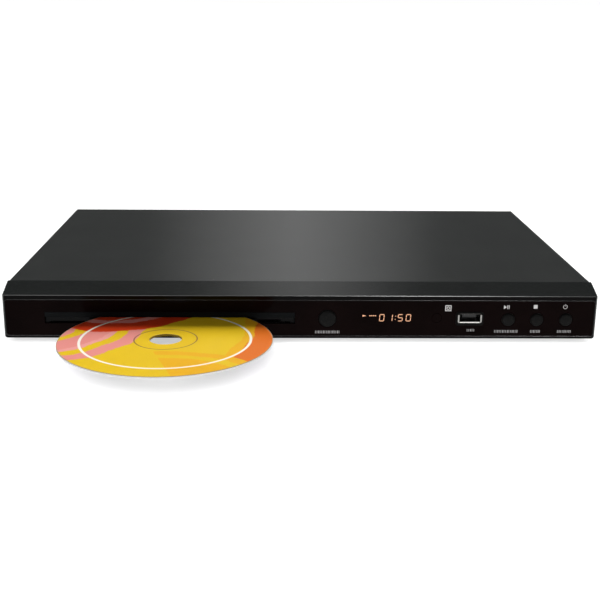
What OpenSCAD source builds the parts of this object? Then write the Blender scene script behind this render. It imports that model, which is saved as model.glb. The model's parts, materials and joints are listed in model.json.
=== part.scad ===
// Slim disc player with a sliding tray, drawn with the tray part way out and a disc in it.
// X runs across the player, Y from its front to its rear and Z up from the surface it stands on.
// The origin lies under the middle of its footprint, with the disc and the rear jacks counted in.
// Pieces are drawn with Y from the front panel's face, and place() moves them into that frame.

/* [Body] */
// Width of the front panel
body_w = 355; // [350:1:380]
// Depth from the front panel's face to the rear edge of the cover
body_d = 234; // [230:1:260]
// Height of the front panel's flat face
face_h = 26.4; // [25:0.2:34]
// Depth of the sloping strip over the face
slope_d = 15; // [13:0.5:18]
// Rise of the sloping strip
slope_h = 5; // [4.6:0.2:8]
// Radius of the front panel's upright corners
corner_r = 1.2; // [1:0.1:3]
// Radius of its lower corners as seen from the front
low_r = 2; // [1:0.1:2.4]
// Radius of the front and side edges of the sloping strip
edge_r = 0.6; // [0.4:0.1:1]
// Step in from the panel to the cover on each side
cover_inset = 0.6; // [0.5:0.1:2]
// Outer bend radius of the cover
cover_r = 1.2; // [1.2:0.1:4]
// Thickness of the sheet steel
sheet_t = 0.8; // [0.6:0.1:1]
// Depth of the lip that the cover turns down at the rear
cover_lip = 7; // [6:0.5:9]
// Height of the feet
foot_h = 5; // [4:0.5:12]
// Diameter of a foot
foot_dia = 22; // [16:1:28]
// Distance of the feet's centres from the sides
foot_side = 28; // [20:1:40]
// Distance of the feet's centres from the front and the rear
foot_end = 30; // [26:1:40]

/* [Front panel] */
// Wall of the front panel's moulding
panel_t = 2; // [1.6:0.1:2.2]
// Thickness of the glossy window
window_t = 1.6; // [1.2:0.1:2]
// How far the window lies behind the panel's face
window_back = 0.2; // [0:0.05:0.4]
// Bevel along the window's edges
window_edge = 0.35; // [0.2:0.05:0.4]
// Rim of the panel above the window
rim_top = 2.7; // [2:0.1:3.4]
// Rim of the panel beside the window
rim_side = 1.2; // [1:0.1:2]
// Rim of the panel under the window
rim_low = 1.1; // [0.8:0.1:2]
// Distance from the window's back to the front board
board_gap = 9.2; // [8.8:0.2:10]

/* [Tray mouth] */
// Width of the mouth
mouth_w = 149; // [147:0.5:152]
// Place of the mouth's middle, counted from the player's middle
mouth_x = -78.5; // [-82:0.5:-77]
// Height of the mouth's lower edge over the panel's bottom
mouth_low = 9; // [9:0.1:10]
// Height of the mouth's upper edge over the panel's bottom
mouth_top = 16.1; // [15.6:0.1:18]
// Height of the trim lip's lower edge over the panel's bottom
lip_low = 12.9; // [12.9:0.1:14]

/* [Disc] */
// Diameter of the disc
disc_dia = 120; // [119:0.5:120]
// Thickness of the disc
disc_t = 1.2; // [1:0.1:1.2]
// Diameter of the disc's hole
disc_hole = 15; // [15:0.1:16]
// Height of the stacking ring under the disc
stack_h = 0.2; // [0.1:0.05:0.2]
// Middle diameter of the stacking ring
stack_dia = 34; // [33:0.5:35]

/* [Tray] */
// Distance of the disc's middle in front of the panel as the tray stands
rest_out = 40; // [36:1:42]
// Side step from the tray's middle to the disc's middle
well_off = 1.5; // [0:0.1:2]
// Thickness of the tray's plate
plate_t = 1; // [0.8:0.1:1.1]
// Height of the ring that carries the disc's edge
seat_h = 0.3; // [0.2:0.05:0.4]
// Width of the ring that carries the disc's edge
seat_w = 4; // [2:0.5:5]
// Radius of the round nose under the disc
nose_r = 54; // [52.5:0.5:55]
// Half width of the nose on the side without the rack
nose_half = 50; // [49:0.5:51]
// Depth of the well for small discs below the plate
tub_drop = 0.9; // [0.7:0.1:0.9]
// Diameter of a small disc
small_dia = 80; // [79:0.5:80]
// Radius of the opening round the turntable
eye_r = 19.5; // [18:0.5:20]
// Width of the slot that the pickup reads through
slot_w = 41; // [37:0.5:41]
// Width of the bar that closes the slot at the tray's rear
slot_bar = 9; // [8:0.5:10]
// Gap between the tray's rear and the loader frame's rear face when the tray is in
tray_end_gap = 5; // [4:0.5:7]
// How far the tray's shoulders stand behind the panel's face
shoulder_back = 1.5; // [1:0.1:2]
// Thickness of the roof over the rack's groove
roof_t = 1.3; // [1:0.1:1.4]

/* [Gears] */
// Module of the rack and its pinion
rack_m = 1; // [1:0.05:1.02]
// Least length of the groove that stays free behind the rack
rack_end_gap = 8; // [8:0.1:11]
// Distance of the rack's pitch line from the disc's middle
rack_u = 49; // [48.5:0.1:49.2]
// Teeth of the pinion that drives the rack
pinion_teeth = 14; // [13:1:14]
// Distance of the tray gear's axle behind the panel's face
gear_y = 56; // [55.5:0.5:57]
// Module of the reduction gears
wheel_m = 0.8; // [0.78:0.01:0.8]
// Teeth of the tray gear's wheel
wheel_teeth = 30; // [29:1:30]
// Teeth of the pulley's pinion
small_teeth = 10; // [10:1:11]
// Side step from the tray gear to the pulley gear
pulley_du = 4; // [3:0.5:5]
// Diameter of the belt's path on the large pulley
pulley_dia = 22; // [20:0.5:22]
// Diameter of the belt's path on the motor's pulley
motor_pulley_dia = 5; // [4:0.2:6]
// Height of the pulleys
pulley_h = 2; // [1.8:0.1:2.2]
// Thickness of the drive belt
belt_t = 1.2; // [1:0.1:1.4]
// Diameter of the loading motor
motor_dia = 21; // [18:0.5:21]
// Height of the loading motor's can
motor_h = 14; // [12:0.5:16]
// Gap between the loader frame's wall and the loading motor
motor_gap = 2.35; // [1.35:0.05:3.35]
// Diameter of the gears' axle pins
axle_dia = 3; // [2.5:0.1:3]
// Play between gear teeth, across a tooth
backlash = 0.12; // [0.08:0.02:0.2]

/* [Loader] */
// Thickness of the loader frame's floor
frame_t = 1.2; // [1:0.1:1.4]
// Gap between the chassis and the loader frame's floor
frame_lift = 0.5; // [0.4:0.1:0.7]
// Thickness of the loader frame's walls
frame_wall = 2.2; // [1.8:0.1:2.4]
// Distance from the loader frame's rear face to the cover's rear edge
frame_gap = 21; // [19:0.5:23]
// Width of the ledges that carry the tray
ledge_w = 2.6; // [2:0.1:2.8]
// Thickness of the ledges that carry the tray
ledge_t = 1.4; // [1:0.1:1.5]
// Depth of the clamp bridge from front to rear
bridge_d = 36; // [32:1:40]
// Thickness of the clamp bridge
bridge_t = 1.2; // [1:0.1:1.5]
// Height of the bridge over the tray's top
bridge_lift = 2; // [1.8:0.1:2.6]
// Diameter of the hole for the clamper
bridge_hole = 24; // [23.5:0.5:26]
// Diameter of the clamper's hub
clamper_dia = 22; // [20:0.5:22.5]
// Diameter of the clamper's flange
clamper_flange = 30; // [28:0.5:34]

/* [Traverse] */
// Distance of the turntable behind the panel's face
spindle_y = 72; // [72:0.5:74]
// Distance of the traverse's hinge behind the panel's face
hinge_y = 162; // [161:0.5:164]
// Angle that the traverse hangs down while the tray is out
traverse_drop = 2; // [1.95:0.01:2.05]
// Diameter of the turntable
turntable_dia = 28; // [26:0.5:29]
// Height of the turntable
turntable_h = 2; // [1.8:0.1:2]
// Height of the boss that centres the disc
boss_h = 1.3; // [1:0.1:1.3]
// Thickness of the steel deck
deck_t = 1.2; // [1:0.1:1.2]
// Diameter of the spindle motor
spindle_motor_dia = 24; // [20:0.5:24]
// Half width of the steel deck
deck_half = 34; // [33.5:0.1:34.2]
// Distance of the guide rods from the disc's middle line
rod_u = 24; // [23.6:0.1:24.2]
// Diameter of the guide rods
rod_dia = 2.5; // [2:0.1:2.5]
// Diameter of the pins that the traverse turns on
hinge_dia = 4; // [3:0.1:4]
// Diameter of the pin in the cam slider
cam_pin_dia = 2.4; // [2:0.1:2.4]
// Travel of the cam slider
cam_travel = 18; // [16:0.5:18]
// Radius on the disc where the pickup starts
lens_start = 24; // [23.5:0.1:24.5]
// Travel of the pickup
pickup_travel = 34; // [32:0.5:35]
// Diameter of the lead screw
screw_dia = 2.4; // [2:0.1:2.4]

/* [Controls] */
// Diameter of the open and close button
open_dia = 10.5; // [9:0.1:11]
// Place of the open and close button across
open_x = 15.4; // [14:0.1:17]
// Height of the open and close button over the panel's bottom
open_up = 12.3; // [11:0.1:13]
// Diameter of the three small buttons
key_dia = 7.9; // [7:0.1:8.4]
// Height of the small buttons over the panel's bottom
key_up = 11.8; // [11:0.1:13]
// Place of the play button across
play_x = 124.4; // [123.5:0.1:125]
// Place of the stop button across
stop_x = 141.6; // [141:0.1:142]
// Place of the power button across
power_x = 159.2; // [158.5:0.1:159.5]
// How far the buttons stand out of the window
key_proud = 0.9; // [0.5:0.1:1.2]
// Travel of a button
key_travel = 0.8; // [0.5:0.1:0.9]
// Diameter of the remote eye's lens
eye_dia = 6; // [5:0.1:6.4]
// Place of the remote eye across
eye_x = 81.1; // [80:0.1:82]
// Height of the remote eye over the panel's bottom
eye_up = 12.8; // [11.5:0.1:13.5]
// Width of the display module
display_w = 38; // [36:0.5:40]
// Height of the display module
display_h = 9; // [8:0.5:10]
// Place of the display module's middle across
display_x = 52; // [50:0.5:54]
// Height of the display module's middle over the panel's bottom
display_up = 12.9; // [11.5:0.1:13.5]

/* [Sockets] */
// Width of the metal frame round the front socket
usb_frame_w = 16.8; // [16:0.1:17.4]
// Height of the metal frame round the front socket
usb_frame_h = 8.5; // [8:0.1:9]
// Place of the front socket across
usb_x = 101; // [100.5:0.1:101.5]
// Height of the front socket's frame over the panel's bottom
usb_up = 12.3; // [12:0.1:13]
// Width of the front socket's shell
usb_w = 13.2; // [13:0.1:13.3]
// Height of the front socket's shell
usb_h = 5.3; // [5.1:0.1:5.5]
// Pitch of the phono jacks
rca_pitch = 14; // [13:0.1:14]
// Number of the phono jacks
rca_count = 4; // [2:1:4]
// Diameter of a phono jack's metal ring
rca_dia = 8.3; // [8:0.1:8.6]
// How far the phono jacks stand out behind the cover
rca_out = 8; // [6:0.1:9]
// Place of the first phono jack across
rca_x = 12; // [11:0.5:13]
// Place of the HDMI socket across
hdmi_x = 68.5; // [68:0.5:70]
// Place of the SCART socket across
scart_x = 100.5; // [100:0.5:102]
// Width of the SCART socket's skirt
scart_w = 47; // [46:0.1:47.5]
// Place of the mains inlet across
inlet_x = 150; // [148:0.5:151]

/* [Boards] */
// Thickness of the circuit boards
pcb_t = 1.6; // [1.2:0.1:1.6]
// Height of the rear boards over the chassis
pcb_lift = 4.2; // [3.6:0.1:5]
// Width of the main board
main_w = 120; // [119:0.5:121]
// Depth of the main board
main_d = 98; // [90:1:100]
// Width of the power board
power_w = 42; // [40:0.5:42]
// Depth of the power board
power_d = 138; // [134:1:144]

/* [Clearances] */
// Gap over and under what slides in the mouth
run_gap = 0.3; // [0.25:0.05:0.3]
// Gap between a guide and what slides in it
slide_gap = 0.25; // [0.2:0.05:0.3]
// Gap round a piece that is set into another
fit_gap = 0.1; // [0.05:0.01:0.15]
// Gap round a button
key_gap = 0.25; // [0.2:0.05:0.3]
// Gap round a pin in its bore, across
pin_gap = 0.2; // [0.1:0.05:0.3]

/* [Hidden] */
$fn = 48;
// Overshoot of a cutting shape past the surface that it cuts
over = 1;

// Casing
floor_z = foot_h + sheet_t;
face_top = foot_h + face_h;
top_z = face_top + slope_h;
slope_a = atan(slope_h / slope_d);
cover_w = body_w - 2 * cover_inset;
cover_low = foot_h + 1;
window_w = body_w - 2 * rim_side;
window_z0 = foot_h + rim_low;
window_z1 = face_top - rim_top;
window_y = window_back + window_t;
wall_y = window_y + panel_t - 0.4;
board_y = window_y + board_gap;
rear_y = body_d - sheet_t;
front_y = (rest_out + disc_dia / 2 - body_d - rca_out) / 2;
chassis_half = cover_w / 2 - sheet_t - fit_gap;
rear_top = top_z - sheet_t - fit_gap;
flange_h = 9;
front_flange_h = 2;
cover_hole_up = 6;
screw_d = 3;
screw_head = 6;
screw_head_h = 1.8;
side_screw_y = [40, 200];
rear_screw_x = [-150, -10, 135];
foot_x = body_w / 2 - foot_side;
foot_wall = 2;
foot_ys = [foot_end, body_d - foot_end];
vent_w = 2.2;
vent_l = 14;
vent_pitch = 5;

// Mouth, disc and tray heights
disc_x = mouth_x + well_off;
mouth_z0 = foot_h + mouth_low;
mouth_z1 = foot_h + mouth_top;
lip_z = foot_h + lip_low;
tray_top = lip_z - run_gap;
disc_z = tray_top - disc_t;
plate_top = disc_z - seat_h;
plate_z = plate_top - plate_t;
tub_z = plate_z - tub_drop;
tray_w = mouth_w - 2 * run_gap;
tray_l = -tray_w / 2 - well_off;
shoulder_v = rest_out + shoulder_back;
well_r = disc_dia / 2 + 0.6;
tub_r = small_dia / 2 + 0.3;
rail_w = 2.4;
groove_end = 3.4;
frame_end = body_d - frame_gap;
tray_back = frame_end - spindle_y - tray_end_gap;
slot_l = tray_back - slot_bar;

// Loader frame heights
frame_z = floor_z + frame_lift;
frame_top = frame_z + frame_t;
ledge_z = tub_z - slide_gap;
wall_in = tray_w / 2 + slide_gap;
wall_out = wall_in + frame_wall;
wall_top = tray_top + bridge_lift;
wall_z = foot_h + sheet_t + front_flange_h + 0.5;
frame_y0 = slope_d + sheet_t + 0.5;
bay_half = deck_half + 5.6;
bay_y0 = 43;
bay_y1 = 168;

// Gears
rack_root = rack_u - 1.25 * rack_m;
rack_pitch = PI * rack_m;
mesh_v = gear_y + rest_out;
rack_first = -floor((mesh_v + 18) / rack_pitch);
rack_teeth = floor((tray_back - groove_end - rack_end_gap - mesh_v) / rack_pitch) - rack_first;
pinion_r = rack_m * pinion_teeth / 2;
gear_u = rack_u + pinion_r;
wheel_r = wheel_m * wheel_teeth / 2;
small_r = wheel_m * small_teeth / 2;
pulley_u = gear_u + pulley_du;
pulley_y = gear_y - sqrt(pow(wheel_r + small_r, 2) - pow(pulley_du, 2));
pulley_z = frame_top + 0.5;
wheel_z = pulley_z + pulley_h + 0.4;
wheel_h = 2;
pinion_z = wheel_z + wheel_h;
pinion_top = disc_z - 0.4;
groove_z = tray_top - roof_t;
groove_u = gear_u + pinion_r + rack_m + 0.5;
belt_z = pulley_z + (pulley_h - belt_t) / 2;
motor_u = wall_out - well_off + motor_dia / 2 + motor_gap;
motor_z = wheel_z + 0.8;
motor_arm = 8.5;
mesh_angle = atan2(pulley_y - gear_y, pulley_du);

// Traverse, drawn level as it stands while it plays
platter_top = disc_z - 0.1;
platter_z = platter_top - turntable_h;
deck_z = tub_z - 0.9 - deck_t;
hinge_z = deck_z - 0.6;
can_z = deck_z - 1;
can_top = platter_z - 0.3;
motor_plate_t = 0.8;
rod_z = deck_z - 0.9;
rod_y0 = spindle_y + 12;
lens_y = spindle_y + lens_start;
rod_y1 = lens_y + pickup_travel + 22;
screw_u = rod_u + 6.5;
screw_z = deck_z - 1.5;
sled_motor_dia = 7.2;
sled_motor_l = 11;
cam_pin_y = 45.2;
cam_pin_z = deck_z + 0.4;
cam_rise = (hinge_y - cam_pin_y) * sin(traverse_drop) + (cam_pin_z - hinge_z) * (1 - cos(traverse_drop));
cam_y0 = 44;
cam_t = 2.4;
cam_half = 22;

// Boards
board_z = floor_z + pcb_lift;
board_top = board_z + pcb_t;
main_x = 5;
power_x0 = main_x + main_w + 3;
board_back = rear_y - sheet_t - 0.2;
front_x0 = 7;
front_x1 = 170;
front_z0 = foot_h + panel_t + 1.6;
front_z1 = face_top - 3.2;
post_xs = [26, 77, 113, 167];
post_zs = [foot_h + 5.4, face_top - 5.6];
rca_z = board_top + 6.6;
rca_collar = rca_dia + 1;
rca_seat = 3;
hdmi_z = board_top + 3.2;
scart_z = board_top + 7.2;
inlet_z = board_top + 6;
tact_w = 6;
tact_h = 3.4;
stem_dia = 3;

// Moves a drawing whose Y starts at the panel's face into the part's own frame
module place() {
    translate([0, front_y, 0]) children();
}

// Places a drawing round the disc's middle, as the tray stands
module at_disc() {
    place() translate([disc_x, -rest_out, 0]) children();
}

// Places a drawing on the line that the disc's middle runs along
module at_line() {
    place() translate([disc_x, 0, 0]) children();
}

// Lets the traverse's pieces down from playing height to where they hang at rest
module lowered() {
    at_line() translate([0, hinge_y, hinge_z]) rotate([traverse_drop, 0, 0])
        translate([0, -hinge_y, -hinge_z]) children();
}

// A block between two corners
module block(low, high) {
    translate(low) cube(high - low);
}

// An outline in X and Z drawn out along Y
module along_y(y0, y1) {
    translate([0, y1, 0]) rotate([90, 0, 0]) linear_extrude(y1 - y0) children();
}

// An outline in Y and Z drawn out along X
module along_x(x0, x1) {
    translate([x0, 0, 0]) rotate([90, 0, 90]) linear_extrude(x1 - x0) children();
}

// An outline in X and Y drawn out along Z
module along_z(z0, z1) {
    translate([0, 0, z0]) linear_extrude(z1 - z0) children();
}

// A round bar along Y
module bar_y(x, z, dia, y0, y1) {
    along_y(y0, y1) translate([x, z]) circle(d = dia);
}

// A round bar along X
module bar_x(y, z, dia, x0, x1) {
    along_x(x0, x1) translate([y, z]) circle(d = dia);
}

// A flat washer or a tube
module tube(outer, inner, h) {
    difference() {
        cylinder(r = outer, h = h);
        translate([0, 0, -over]) cylinder(r = inner, h = h + 2 * over);
    }
}

// A rectangle with round corners
module round_rect(w, h, r) {
    square([w - 2 * r, h], center = true);
    square([w, h - 2 * r], center = true);
    for (x = [-1, 1], y = [-1, 1]) {
        translate([x * (w / 2 - r), y * (h / 2 - r)]) circle(r);
    }
}

// A slot with round ends, along the outline's second axis
module oblong(w, l) {
    square([w, l - w], center = true);
    for (s = [-1, 1]) {
        translate([0, s * (l - w) / 2]) circle(d = w);
    }
}

// A pan-head screw along Z with its head's underside at the origin and its shank below
module screw(len) {
    difference() {
        union() {
            cylinder(d = screw_head, h = screw_head_h);
            translate([0, 0, -len]) cylinder(d = screw_d, h = len);
        }
        for (a = [0, 90]) {
            rotate(a) translate([-1.8, -0.35, screw_head_h - 0.9]) cube([3.6, 0.7, 0.9 + over]);
        }
    }
}

// Angle between a gear's pitch point and the point of its involute at radius r
function involute(base, r) = sqrt(pow(r / base, 2) - 1) * 180 / PI - acos(base / r);

// Half the angle that a tooth covers at radius r
function tooth_half(n, m, r) =
    let (pitch = n * m / 2, base = pitch * cos(20))
    90 / n - backlash / pitch * 45 / PI + involute(base, pitch) - involute(base, max(r, base));

// Outline of a gear with n involute teeth and one tooth's middle at angle turn
function gear_points(n, m, turn) =
    let (pitch = n * m / 2, root = pitch - 1.25 * m, base = pitch * cos(20), tip = pitch + m)
    let (radii = [root, max(root + 0.01, base), (base + tip) / 2, tip])
    [for (i = [0:n - 1]) each concat(
        [for (r = radii) polar(r, turn + i * 360 / n - tooth_half(n, m, r))],
        [for (j = [3:-1:0]) polar(radii[j], turn + i * 360 / n + tooth_half(n, m, radii[j]))]
    )];

function polar(r, a) = [r * cos(a), r * sin(a)];

// ---- Casing ----

// Side outline of the front panel, with its top front edge rounded
module panel_side() {
    middle = [edge_r, face_top + edge_r * (sin(slope_a) - 1) / cos(slope_a)];
    polygon(concat(
        [[0, foot_h]],
        [for (i = [0:4]) middle + polar(edge_r, 180 - i * (90 - slope_a) / 4)],
        [[slope_d, top_z], [slope_d, foot_h]]
    ));
}

// Side outline of the hollow behind the front panel's wall
module panel_hollow() {
    polygon([
        [wall_y, foot_h + panel_t],
        [wall_y, face_top + wall_y * tan(slope_a) - panel_t],
        [slope_d, top_z - panel_t],
        [slope_d + over, top_z - panel_t],
        [slope_d + over, foot_h + panel_t]
    ]);
}

// Solid that the front panel is cut from, with its upright, lower and sloping edges rounded
module panel_block() {
    intersection() {
        along_x(-body_w / 2, body_w / 2) panel_side();
        translate([0, slope_d, 0]) along_z(0, top_z + over) round_rect(body_w, 2 * slope_d, corner_r);
        translate([0, 0, foot_h + top_z]) along_y(-over, slope_d + over) round_rect(body_w, 2 * top_z, low_r);
        translate([0, 0, face_top]) rotate([slope_a, 0, 0])
            along_y(-top_z, top_z) translate([0, -top_z]) round_rect(body_w, 2 * top_z, edge_r);
    }
}

// Outline in X and Z of everything that pierces the window
module window_holes(gap) {
    translate([mouth_x - mouth_w / 2, mouth_z0]) square([mouth_w, mouth_z1 - mouth_z0]);
    for (b = buttons) {
        translate([b[0], foot_h + b[1]]) circle(d = b[2] + 2 * key_gap);
    }
    translate([usb_x, foot_h + usb_up])
        round_rect(usb_frame_w + 2 * gap, usb_frame_h + 2 * gap, usb_frame_r + gap);
}

buttons = [
    [open_x, open_up, open_dia], [play_x, key_up, key_dia],
    [stop_x, key_up, key_dia], [power_x, key_up, key_dia]
];

module front_panel() {
    place() color("#1b2122") difference() {
        union() {
            difference() {
                panel_block();
                along_x(panel_t - body_w / 2, body_w / 2 - panel_t) panel_hollow();
            }
            panel_posts();
        }
        along_y(-over, window_y) translate([0, (window_z0 + window_z1) / 2])
            round_rect(window_w, window_z1 - window_z0, 1.5);
        along_y(0, wall_y + over) {
            window_holes(fit_gap);
            translate([display_x, foot_h + display_up])
                square([display_w + 2 * fit_gap, display_h + 2 * fit_gap], center = true);
            translate([eye_x, foot_h + eye_up]) circle(d = eye_dia + 1.2);
        }
    }
}

// Posts behind the panel's wall that carry the front board, and the ribs that stiffen it
module panel_posts() {
    for (x = post_xs, z = post_zs) {
        difference() {
            bar_y(x, z, 4.4, wall_y - 0.5, board_y);
            bar_y(x, z, 1.6, wall_y + over, board_y + over);
        }
    }
    for (x = [-168, -120, -78.5, -36]) {
        block([x - 0.6, wall_y - 0.5, mouth_z1 + 1.5], [x + 0.6, slope_d - 4, top_z - 4.4]);
    }
}

module front_window() {
    w = window_w / 2 - fit_gap;
    low = window_z0 + fit_gap;
    high = window_z1 - fit_gap;
    place() color("#120b0a") difference() {
        along_y(window_back, window_y) difference() {
            translate([0, (low + high) / 2]) round_rect(2 * w, high - low, 1.5);
            window_holes(fit_gap);
            translate([eye_x, foot_h + eye_up]) circle(d = eye_dia + 2 * fit_gap);
        }
        for (s = [-1, 1]) {
            along_z(low - over, high + over) translate([s * w, window_back]) polygon(bevel_cut(s));
            along_x(-w - over, w + over) translate([window_back, s < 0 ? low : high])
                polygon([for (p = bevel_cut(s)) [p[1], p[0]]]);
        }
    }
}

// Corners of the cut that bevels the window's edge on side s, across and from its face back
function bevel_cut(s) =
    [[-s * (window_edge + over), -over], [s * over, window_edge + over], [s * over, -over]];

// Fixed lip across the top of the mouth, with a flange behind the panel's wall
module mouth_trim() {
    place() color("#14171a") difference() {
        union() {
            block([mouth_x - mouth_w / 2 + fit_gap, window_back / 2, lip_z],
                [mouth_x + mouth_w / 2 - fit_gap, wall_y, mouth_z1 - fit_gap]);
            block([mouth_x - mouth_w / 2 - 4, wall_y, lip_z],
                [mouth_x + mouth_w / 2 + 4, wall_y + 1.2, mouth_z1 + 1.4]);
        }
        along_x(mouth_x - mouth_w, mouth_x + mouth_w)
            polygon([
                [-over, lip_z - over], [-over, lip_z + 0.4 + over], [window_back / 2 + 0.4, lip_z - 0.01]
            ]);
    }
}

module dust_lip() {
    place() color("#0e0f10") block([mouth_x - mouth_w / 2 + 1, wall_y + 1.2, lip_z - 0.1],
        [mouth_x + mouth_w / 2 - 1, wall_y + 2.6, mouth_z1]);
}

// Outline in X and Z of the cover's sheet, drawn in by an inset
module cover_outline(inset, low) {
    w = cover_w - 2 * inset;
    r = cover_r - inset;
    translate([-w / 2, low]) square([w, top_z - inset - r - low]);
    translate([-w / 2 + r, low]) square([w - 2 * r, top_z - inset - low]);
    for (s = [-1, 1]) {
        translate([s * (w / 2 - r), top_z - inset - r]) circle(r);
    }
}

// Sheet cover over the top and both sides, with a lip turned down over the rear panel
module top_cover() {
    place() color("#4b4f4e") difference() {
        union() {
            along_y(slope_d, body_d) difference() {
                cover_outline(0, cover_low);
                cover_outline(sheet_t, cover_low - over);
            }
            along_y(rear_y, body_d) intersection() {
                cover_outline(sheet_t / 2, cover_low);
                translate([-cover_w / 2, top_z - cover_lip]) square([cover_w, cover_lip - sheet_t / 2]);
            }
        }
        cover_screw_holes();
        for (i = [0:15]) {
            along_x(-body_w, body_w) translate([side_screw_y[1] - 14 - i * vent_pitch, top_z - 14])
                oblong(vent_w, vent_l);
        }
    }
}

module cover_screw_holes() {
    for (y = side_screw_y) {
        bar_x(y, foot_h + cover_hole_up, screw_d + fit_gap, -body_w, body_w);
    }
    for (x = rear_screw_x) {
        bar_y(x, top_z - cover_lip / 2, screw_d + fit_gap, rear_y - 3, body_d + over);
    }
}

module cover_screws() {
    place() color("#2a2c2d") {
        for (y = side_screw_y, s = [-1, 1]) {
            translate([s * cover_w / 2, y, foot_h + cover_hole_up]) rotate([0, s * 90, 0]) screw(5);
        }
        for (x = rear_screw_x) {
            translate([x, body_d, top_z - cover_lip / 2]) rotate([-90, 0, 0]) screw(5);
        }
    }
}

// Steel floor with turned-up edges, stiffening beads, standoffs and vents
module base_chassis() {
    place() color("#8d9192") difference() {
        union() {
            block([-chassis_half, slope_d, foot_h], [chassis_half, rear_y, floor_z]);
            for (s = [-1, 1]) {
                translate([s * (chassis_half - sheet_t / 2), 0, 0])
                    block([-sheet_t / 2, slope_d, foot_h],
                        [sheet_t / 2, rear_y - sheet_t, foot_h + flange_h]);
            }
            block([-chassis_half, slope_d, foot_h],
                [chassis_half, slope_d + sheet_t, floor_z + front_flange_h]);
            for (p = frame_seats) {
                translate([disc_x + p[0], p[1], floor_z]) cylinder(d = 9, h = frame_lift);
            }
            for (p = board_posts) {
                translate([p[0], p[1], floor_z]) cylinder(d = 6, h = pcb_lift);
            }
        }
        cover_screw_holes();
        for (p = frame_seats) {
            translate([disc_x + p[0], p[1], foot_h - over]) cylinder(d = screw_d + fit_gap, h = 3);
        }
        for (x = [-foot_x, foot_x], y = foot_ys) {
            translate([x, y, foot_h - over]) cylinder(d = screw_d + fit_gap, h = sheet_t + 2 * over);
        }
        for (i = [0:9]) {
            translate([inlet_x - 22 + i * vent_pitch, body_d - 80, 0]) along_z(foot_h - over, floor_z + over)
                oblong(vent_w, 26);
        }
    }
}

seat_x0 = 5.95 - wall_in - well_off;
seat_x1 = wall_in - well_off - 8.95;
frame_seats = [[seat_x0, 24], [seat_x1, 22], [seat_x0, frame_end - 6], [seat_x1, frame_end - 6]];
board_posts = [
    for (x = [main_x + 5, main_x + main_w - 5], y = [board_back - main_d + 5, board_back - 30]) [x, y],
    for (x = [power_x0 + 5, power_x0 + power_w - 5], y = [board_back - power_d + 5, board_back - 30]) [x, y]
];

// Outline in X and Z of a C8 mains inlet's opening
module figure_eight(grow) {
    for (s = [-1, 1]) {
        translate([s * 3.3, 0]) circle(d = 8 + 2 * grow);
    }
    square([6.6, 8 + 2 * grow], center = true);
}

// Outline in X and Z of a SCART skirt, with its slanting end
module scart_outline(inset) {
    w = scart_w / 2 - inset;
    h = 6.5 - inset;
    polygon([[-w, -h], [w, -h], [w, h - 6], [w - 6, h], [-w, h]]);
}

module rear_panel() {
    place() color("#7f8384") difference() {
        union() {
            along_y(rear_y - sheet_t, rear_y) polygon([
                [-chassis_half, floor_z], [chassis_half, floor_z], [chassis_half, rear_top - cover_r],
                [chassis_half - cover_r, rear_top], [cover_r - chassis_half, rear_top],
                [-chassis_half, rear_top - cover_r]
            ]);
            block([-chassis_half + 6, rear_y - 9, floor_z], [chassis_half - 6, rear_y, floor_z + sheet_t]);
        }
        cover_screw_holes();
        along_y(rear_y - sheet_t - over, rear_y + over) {
            for (i = [0:rca_count - 1]) {
                translate([rca_x + i * rca_pitch, rca_z]) circle(d = rca_collar + 2 * fit_gap);
            }
            translate([hdmi_x, hdmi_z]) square([15.6, 6.6], center = true);
            translate([scart_x, scart_z]) scart_outline(-fit_gap);
            translate([inlet_x, inlet_z]) figure_eight(1.5 + fit_gap);
            for (i = [0:23]) {
                translate([-150 + i * vent_pitch, foot_h + face_h / 2 + 1]) oblong(vent_w, vent_l);
            }
        }
    }
}

// Moulded rubber foot, hollow underneath round its screw
module feet() {
    place() color("#1c1c1c") for (x = [-foot_x, foot_x], y = foot_ys) {
        translate([x, y, 0]) difference() {
            rotate_extrude() polygon([
                [0, 0], [foot_dia / 2 - 1.6, 0], [foot_dia / 2 - 1, 0.6],
                [foot_dia / 2, foot_h - 1], [foot_dia / 2, foot_h], [0, foot_h]
            ]);
            translate([0, 0, -over]) cylinder(d = screw_head + 3, h = foot_h - foot_wall + over);
            cylinder(d = screw_d + fit_gap, h = foot_h + over);
        }
    }
}

module foot_screws() {
    place() color("#b9bcbd") for (x = [-foot_x, foot_x], y = foot_ys) {
        translate([x, y, foot_h - foot_wall]) rotate([180, 0, 0])
            screw(foot_wall + sheet_t + frame_lift - 0.1);
    }
}

// ---- Controls on the front ----

// Domed cap on a stem that runs back to its switch, with a flange behind the panel's wall
module push_button(b) {
    r = b[2] / 2;
    place() translate([b[0], window_back - key_proud, foot_h + b[1]]) rotate([-90, 0, 0]) rotate_extrude()
        polygon([
            [0, 0], [r * 0.45, 0.06], [r * 0.75, 0.18], [r - 0.35, 0.42], [r, 0.9],
            [r, key_proud - window_back + wall_y + 0.3],
            [r + 1, key_proud - window_back + wall_y + 0.3],
            [r + 1, key_proud - window_back + wall_y + 1.1],
            [stem_dia / 2, key_proud - window_back + wall_y + 1.1],
            [stem_dia / 2, key_proud - window_back + board_y - tact_h + 0.4],
            [0, key_proud - window_back + board_y - tact_h + 0.4]
        ]);
}

module open_button() {
    color("#1d1d1c") push_button(buttons[0]);
}

module play_button() {
    color("#1d1d1c") push_button(buttons[1]);
}

module stop_button() {
    color("#1d1d1c") push_button(buttons[2]);
}

module power_button() {
    color("#1d1d1c") push_button(buttons[3]);
}

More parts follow.
